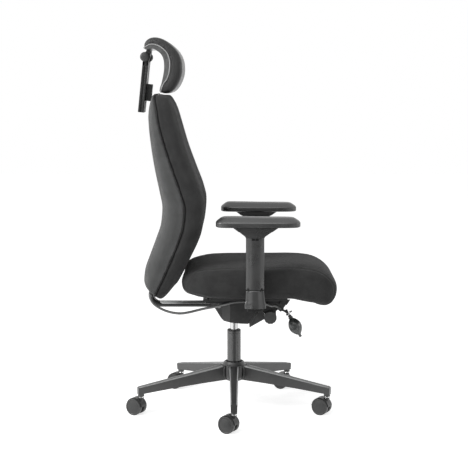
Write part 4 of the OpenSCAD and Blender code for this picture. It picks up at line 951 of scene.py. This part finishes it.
# Base, with light rims along the legs' upper edges that are a painted highlight, and ribs where the
# legs leave the hub
soften("star_base", 0.0022, CASTING, 28)
LEG_ROOT, LEG_END, LEG_TOP, LEG_TIP_TOP = 22, 363, 163, 101
LEG_TAPER = [(0, 35), (0.3, 30.8), (0.65, 26.9), (0.93, 24.4), (1, 24)]
RIM_FROM, RIM_TO, RIM_STEPS, RIM_INSET = 42, 359, 14, 2.2
RIB = [(41, 19.5, 160, 2.0), (43.5, 19, 150, 3.4), (43.5, 18.6, 124, 3.2), (37, 18.2, 112, 1.6)]
DOME = [(25.4, 150), (25.4, 176), (27.5, 176), (32.5, 173.6), (37, 169), (40.2, 163), (41, 158),
        (41, 150)]


def leg_width(share):
    for (a, wa), (b, wb) in zip(LEG_TAPER, LEG_TAPER[1:]):
        if share <= b:
            return wa + (wb - wa) * (share - a) / (b - a)


def leg_point(leg, r, off, z):
    a = rad(180 + 72 * leg)
    return Vector(((r * cos(a) - off * sin(a)) * MM, (r * sin(a) + off * cos(a)) * MM, z * MM))


for leg in range(5):
    for k, (side, _) in enumerate(SIDES):
        line, width = [], []
        for n in range(RIM_STEPS + 1):
            r = RIM_FROM + (RIM_TO - RIM_FROM) * n / RIM_STEPS
            share = (r - LEG_ROOT) / (LEG_END - LEG_ROOT)
            line.append(leg_point(leg, r, side * (leg_width(share) / 2 - RIM_INSET),
                                  LEG_TOP + (LEG_TIP_TOP - LEG_TOP) * share - 0.5))
            width.append((2.5 - 0.9 * n / RIM_STEPS) * MM)
        dress(tube(f"leg_{leg + 1}_rim_{k}", line, width, 10), "star_base", LEG_EDGE_PAINTED_HIGHLIGHT)
        line = [leg_point(leg, r, side * off, z) for r, off, z, _ in RIB]
        rib = tube(f"leg_{leg + 1}_rib_{k}", line, [r[3] * MM for r in RIB])
        dress(rib, "star_base", CASTING)
# The hub's dome is near black, painted shadow round the column's foot
dress(lathe("hub_dome", DOME, sides=96), "star_base", PAINTED_SHADE)

# The housing narrows behind the column, so that its rear corner is a facet of its own
NARROW_FROM, NARROW_TO, NARROW_SLOPE = -14, -45, 0.7


def narrow_rear(bm):
    for front in (NARROW_FROM, NARROW_TO):
        geom = list(bm.verts) + list(bm.edges) + list(bm.faces)
        bmesh.ops.bisect_plane(bm, geom=geom, plane_co=at(0, front, 0), plane_no=(0, 1, 0),
                               dist=1e-6)
    for v in bm.verts:
        behind = min(NARROW_FROM + v.co.y / MM, NARROW_FROM - NARROW_TO)
        if abs(v.co.x) > 0.06 and behind > 0 and v.co.z < 0.407:
            v.co.x -= copysign(NARROW_SLOPE * behind * MM, v.co.x)


soften("mechanism_housing", 0.0022, BLACK, shape=narrow_rear)

# The bar that carries the back: level, round a bend and up, with a light strip on top that is a
# painted highlight
BAR_Z, BAR_FRONT, BAR_W, BAR_T, BAR_UP = 386, -54, 50, 21, 160
BEND_F, BEND_R, BEND_TURN = -267.1, 34, 113.47
HIGHLIGHT_ROWS = [(-74, 0.9), (-76, 1.0), (-160, 1.0), (-240, 1.0), (-262, 0.97), (-274, 0.9)]
bar_line = [(BAR_FRONT - (BAR_FRONT - BEND_F) * k / 8, BAR_Z) for k in range(8)]
bar_line += [(BEND_F - BEND_R * sin(rad(BEND_TURN * k / 12)),
              BAR_Z + BEND_R - BEND_R * cos(rad(BEND_TURN * k / 12))) for k in range(13)]
lean, (f_bend, z_bend) = rad(BEND_TURN - 90), bar_line[-1]
bar_line += [(f_bend + BAR_UP * k / 4 * sin(lean), z_bend + BAR_UP * k / 4 * cos(lean))
             for k in range(1, 5)]
rings = []
for i, (f, z) in enumerate(bar_line):
    f0, z0 = bar_line[max(i - 1, 0)]
    f1, z1 = bar_line[min(i + 1, len(bar_line) - 1)]
    size = hypot(f1 - f0, z1 - z0)
    nf, nz = (z1 - z0) / size, -(f1 - f0) / size
    rings.append([at(BAR_W / 2 * c, f + nf * BAR_T / 2 * s, z + nz * BAR_T / 2 * s)
                  for c, s in around(40, 0.8, 0.8)])
bar = loft("back_bar_skin", rings, sharp=60)
barrel = rod_x("back_bar_barrel", BAR_FRONT, 390, 14, -49.5, 49.5, 1.0)
# The light strip along the bar's top is a painted highlight
rings = []
for f, size in HIGHLIGHT_ROWS:
    lift = BEND_R - sqrt(max(0, BEND_R ** 2 - max(0, BEND_F - f) ** 2)) + 0.6
    rings.append([at((BAR_W / 2 + 0.4) * bow(cos(rad(a)), 0.8) * size, f,
                     BAR_Z + lift + BAR_T / 2 * bow(sin(rad(a)), 0.8) * size)
                  for a in range(12, 169, 6)])
dress(loft("back_bar_painted_highlight", rings, sharp=60), "back_bar", BAR_PAINTED_HIGHLIGHT)
for piece in (bar, barrel):
    dress(piece, "back_bar", BAR_PAINT)

# Plates and hard parts with rounded edges
soften("height_lever", 0.001, BLACK)
STRAP = [(150, 407.6), (189.5, 407.6), (178, 391), (175.5, 380.5), (166, 376), (157, 383),
         (151, 395)]
dress(side_plate("pump_strap", STRAP, -111, -105, 0.001), "pump_bracket", BLACK)
soften("headrest_bracket", 0.0015, BLACK)
NECK = ([(-10.5, -4), (10.5, -4), (10.5, 19), (8, 26)] + arc(0, LINK_L, KNUCKLE / 2, 0, 180, 9)
        + [(-6.8, 26), (-7, 19), (-10.5, 13)])
neck = side_plate("headrest_neck", NECK, -LINK_W / 2 + 0.4, LINK_W / 2 - 0.4, 0.0008)
for v in neck.data.vertices:
    v.co = leaning(PIVOT, LINK_LEAN, v.co.x / MM, -v.co.y / MM, v.co.z / MM)
dress(neck, "headrest_link", CAP)
soften("tension_knob", 0.0012, KNOB)
soften("seat_pan", 0.0015, BLACK)
soften("seat_plate", 0.001, STEEL_PAINT)
soften("seat_rails", 0.0006, BLACK)
for side, label in SIDES:
    guard = [(-104, 414.1), (190, 414.1), (190, 423.3), (-97, 423.3)]
    dress(side_plate("rail_guard_" + label[0], guard, side * 118, side * 124.6, 0.0008),
          "seat_rails", BLACK)
EAR = [(158, 404), (187.5, 404), (200, 423.3), (168, 423.3)]
dress(side_plate("pump_ear", EAR, -131, -125.2), "pump_bracket", BLACK)
for i in range(1, 6):
    soften(f"caster_{i}_hood", 0.0008, BLACK)
    soften(f"caster_{i}_wheels", 0.0008, WHEEL)

# The headrest's post: a bar with a slot on its front for the bracket and a groove on each edge
h, t = POST_W / 2, POST_T / 2
SLOT_TOP, BAR_TOP, EAR_R, EAR_T, CAP_R, CAP_L = -30.5, -17.5, 15, 14, 17, 14
edge_side = [(h - 1.5, -t), (h, -t + 1.5), (h, -4.2), (h - 2.2, -2.6), (h - 2.2, 1.4), (h, 3),
             (h, t - 1.5), (h - 1.5, t)]
solid = edge_side + [(-x, y) for x, y in edge_side[::-1]]
slot = [(-7, -t), (-7, -t + 4), (-12, -t + 4), (-12, -t + 9), (12, -t + 9), (12, -t + 4),
        (7, -t + 4), (7, -t)]
# The sections are drawn as across and rearward from the post's middle
for name, outline, ups in (("low", slot + solid, (-POST_L, SLOT_TOP)),
                           ("mid", solid, (SLOT_TOP, BAR_TOP))):
    rings = [[leaning(PIVOT, POST_LEAN, x, -y, up) for x, y in outline] for up in ups]
    dress(bevel(loft("headrest_post_" + name, rings, sharp=30), 0.0006, 2), "headrest_post",
          POST_PAINT)
ear_line = arc(0, 0, EAR_R, 200, -220, 22) + [(t, -17), (t, -32), (-t, -32), (-t, -17)]
for side, label in SIDES:
    rings = [[leaning(PIVOT, POST_LEAN, x, f, u) for f, u in ear_line]
             for x in sorted((side * h, side * (h - EAR_T)))]
    ear = loft("headrest_ear_" + label[0], rings, sharp=40)
    dress(bevel(ear, 0.001, 2, 50), "headrest_post", POST_PAINT)
    near, cap_shift = side * (h + 0.3), -3.5 if side < 0 else 0.5
    cap = rod_x("headrest_cap_" + label[0], PIVOT[0] + cap_shift, PIVOT[1], CAP_R, near,
                near + side * CAP_L, 4.0)
    # The far cap takes the lighter copy of the same plastic, painted light
    dress(cap, "headrest_pin", CAP if side < 0 else FAR_CAP_PAINTED_LIGHT)
dress(rod_x("headrest_pin_rod", *PIVOT, 5, -60, 60), "headrest_pin", ZINC)

# Column: a tube with a groove and a toothed collar near its top
tube_low, tube_high = [Vector(v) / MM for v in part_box("column_tube")]
bush_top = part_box("guide_bush")[1][2] / MM
r, low, top = (tube_high.x - tube_low.x) / 2, tube_low.z, tube_high.z
TUBE = [(r - 0.8, low), (r, low + 0.8), (r, top - 9), (r - 0.5, top - 8.4), (r - 0.5, top - 7.6),
        (r, top - 7), (r, top - 1.2), (r - 0.9, top), (r - 2, top), (r - 2, top - 30),
        (r - 2, low + 3), (7, low + 3)]
dress(lathe("column_tube_skin", TUBE, sides=96), "column_tube", TUBE_PAINT)
TEETH, TOOTH_SHARE, TOOTH_DEEP, TOOTH_SHALLOW = 48, 0.55, 7, 0.6
BLOCK = ((3, 2, 1, 0), (4, 5, 6, 7), (0, 1, 5, 4), (1, 2, 6, 5), (2, 3, 7, 6), (3, 0, 4, 7))
teeth_v, teeth_f = [], []
for k in range(TEETH):
    a0, a1 = 2 * pi * k / TEETH, 2 * pi * (k + TOOTH_SHARE) / TEETH
    teeth_f += [tuple(8 * k + i for i in face) for face in BLOCK]
    for z in (top + 0.05, bush_top + 1.4):
        for off, a in ((TOOTH_DEEP, a0), (TOOTH_SHALLOW, a0), (TOOTH_SHALLOW, a1),
                       (TOOTH_DEEP, a1)):
            teeth_v.append(Vector(((r - off) * cos(a), (r - off) * sin(a), z)) * MM)
teeth = mesh_object("column_teeth", teeth_v, teeth_f, False)
ride(teeth, BODY_OF["guide_bush"], BLACK)

# Pump: the valve with its collars, the clear screw and the bulb, in outlines of radius and height
PUMP_X, VALVE, BULB_LEAN, BUTTON_LEAN, CROSS_LEAN, STUB_RISE = -108, (193, 371), 28, 28, 10, 30
VALVE_BODY = [(2.6, -7.5), (3.4, -7), (3.4, 3), (2.9, 3.4), (2.9, 9), (6.2, 9.4), (6.5, 10.4),
              (6.5, 12.4), (6.0, 13)]
CLEAR_SCREW = [(3.6, -1.5), (4.1, -1), (4.1, 7), (3.6, 7.5)]
CROSS = [(2.6, -11), (4.3, -10), (4.3, -6.6), (2.9, -5.6), (2.9, 5.6), (4.3, 6.6), (4.3, 10),
         (2.6, 11)]
STUB = [(3.2, 0), (4.5, 1), (4.5, 8), (3.9, 9), (3.9, 29), (3.4, 30)]
BULB = [(6.2, 13.1), (6.5, 14), (6.5, 17.5)]
BULB += [(max(5, 23.5 * sin(pi * k / 24) ** 0.66), 19.1 + 70 * k / 24) for k in range(1, 24)]
BULB += [(5.2, 89.4), (4.8, 90.6), (5, 92), (5, 96), (4.2, 97)]
COLLAR = [(6.4, 16.4), (8.2, 16.9), (8.4, 18.2), (8.4, 20.4), (8.0, 21.4), (6, 22)]


# A turned form in the side view, along an axis given by its share to the front and upward
def pump_lathe(name, profile, front, up, sides=48, place=VALVE):
    return lathe(name, profile, at(PUMP_X, *place), Vector((0, -front, up)), sides, 40)


down = sin(rad(BULB_LEAN)), -cos(rad(BULB_LEAN))
valve = pump_lathe("pump_valve_body", VALVE_BODY, *down)
clear = pump_lathe("pump_clear", CLEAR_SCREW, *down)
cross = pump_lathe("pump_cross", CROSS, sin(rad(CROSS_LEAN)), -cos(rad(CROSS_LEAN)), 32,
                   (188.5, 373))
stub = pump_lathe("pump_stub", STUB, -cos(rad(STUB_RISE)), sin(rad(STUB_RISE)), 32)
for piece in (valve, stub, clear):
    cut(piece, lathe("button_room", [(3.4, 2.5), (3.4, 9)], at(PUMP_X, *VALVE),
                     Vector((0, -cos(rad(BUTTON_LEAN)), sin(rad(BUTTON_LEAN)))), 32))
for piece in (valve, cross, stub, clear):
    dress(piece, "pump_valve", CLEAR if piece == clear else BLACK)
dress(pump_lathe("pump_bulb_skin", BULB, *down, 64), "pump_bulb", RUBBER)
dress(pump_lathe("pump_bulb_collar", COLLAR, *down), "pump_bulb", BLACK)

# Solids that keep their CAD form
PAINT = {
    "caster_sleeves": ZINC, "guide_bush": BLACK, "thrust_bearing": ZINC, "retaining_clip": ZINC,
    "piston_rod": CHROME, "gas_cylinder": CHROME, "recline_pin": PIN_LIGHT,
    "recline_springs": SPRING, "tension_spindle": ZINC, "release_button": CHROME,
    "lumbar_bladder": VINYL, "tilt_pin": ZINC}
PAINT.update({f"caster_{i}_stem": CHROME for i in range(1, 6)})
for node, material in PAINT.items():
    for material_slot in NODES[node].material_slots:
        material_slot.material = material

# Floor, world and lamps
FLOOR_HALF, FLOOR_GLOW, WORLD_FILL = 12, 0.7, 0.35
WHITE, NO_COLOR = (1, 1, 1, 1), (0, 0, 0, 1)
floor = mesh_object("floor", [
    (x, y, 0) for x, y in corners((-FLOOR_HALF, -FLOOR_HALF), (FLOOR_HALF, FLOOR_HALF))],
    [(0, 1, 2, 3)], False)
paper = Shader("floor")
floor.data.materials.append(paper.surface(
    Base_Color=grey(0.9, PLAIN), Roughness=0.9, Specular_IOR_Level=0.0, Emission_Color=WHITE,
    Emission_Strength=paper.math("MULTIPLY", paper.seen(), FLOOR_GLOW)))

scene.world = bpy.data.worlds.new("studio")
scene.world.use_nodes = True
sky = Nodes(scene.world.node_tree)
background = sky.tree.nodes["Background"]
background.inputs["Color"].default_value = WHITE
sky.put(background.inputs["Strength"],
        sky.math("ADD", sky.math("MULTIPLY", sky.seen(), 1 - WORLD_FILL), WORLD_FILL))

# Cards round the camera, which only reflections see: a grey one behind it and two narrow dark ones
CARD_NEAR, CARD_FAR, CARD_LOW, CARD_HIGH, CARD_STEPS = 0.42, 5.2, 0.004, 3.0, 16


def card(name, start, end, level):
    shader = Shader(name)
    shader.mat.cycles.emission_sampling = "NONE"
    verts = []
    for k in range(CARD_STEPS + 1):
        a = rad(start + (end - start) * k / CARD_STEPS)
        verts += [(-r * cos(a), r * sin(a), z) for r, z in (
            (CARD_NEAR, CARD_LOW), (CARD_FAR, CARD_LOW), (CARD_FAR, CARD_HIGH))]
    obj = mesh_object(name, verts, [
        (3 * k + j, 3 * k + 3 + j, 3 * k + 4 + j, 3 * k + 1 + j)
        for k in range(CARD_STEPS) for j in (0, 1)], False)
    obj.data.materials.append(shader.surface(
        Base_Color=NO_COLOR, Specular_IOR_Level=0.0, Emission_Color=WHITE,
        Emission_Strength=level))
    obj.visible_camera = obj.visible_diffuse = obj.visible_shadow = False
    obj.visible_transmission = False


card("grey_card", -32, 17, 0.33)
card("dark_card_rear", 29, 35, 0.05)
card("dark_card_front", -58, -50, 0.05)

TARGET = Vector((0, 0, 0.6))
for name, place, size, power in (
        ("key", (-1.9, 3.2, 2.5), 1.6, 110), ("top", (-1.8, 0.4, 3.0), 1.8, 20),
        ("front", (-0.6, -3.6, 1.5), 1.2, 12)):
    lamp = link(name, bpy.data.lights.new(name, "AREA"))
    lamp.data.shape = "SQUARE"
    lamp.data.size = size
    lamp.data.energy = power
    aim(lamp, place, TARGET - Vector(place))

scene.view_settings.view_transform = "Standard"
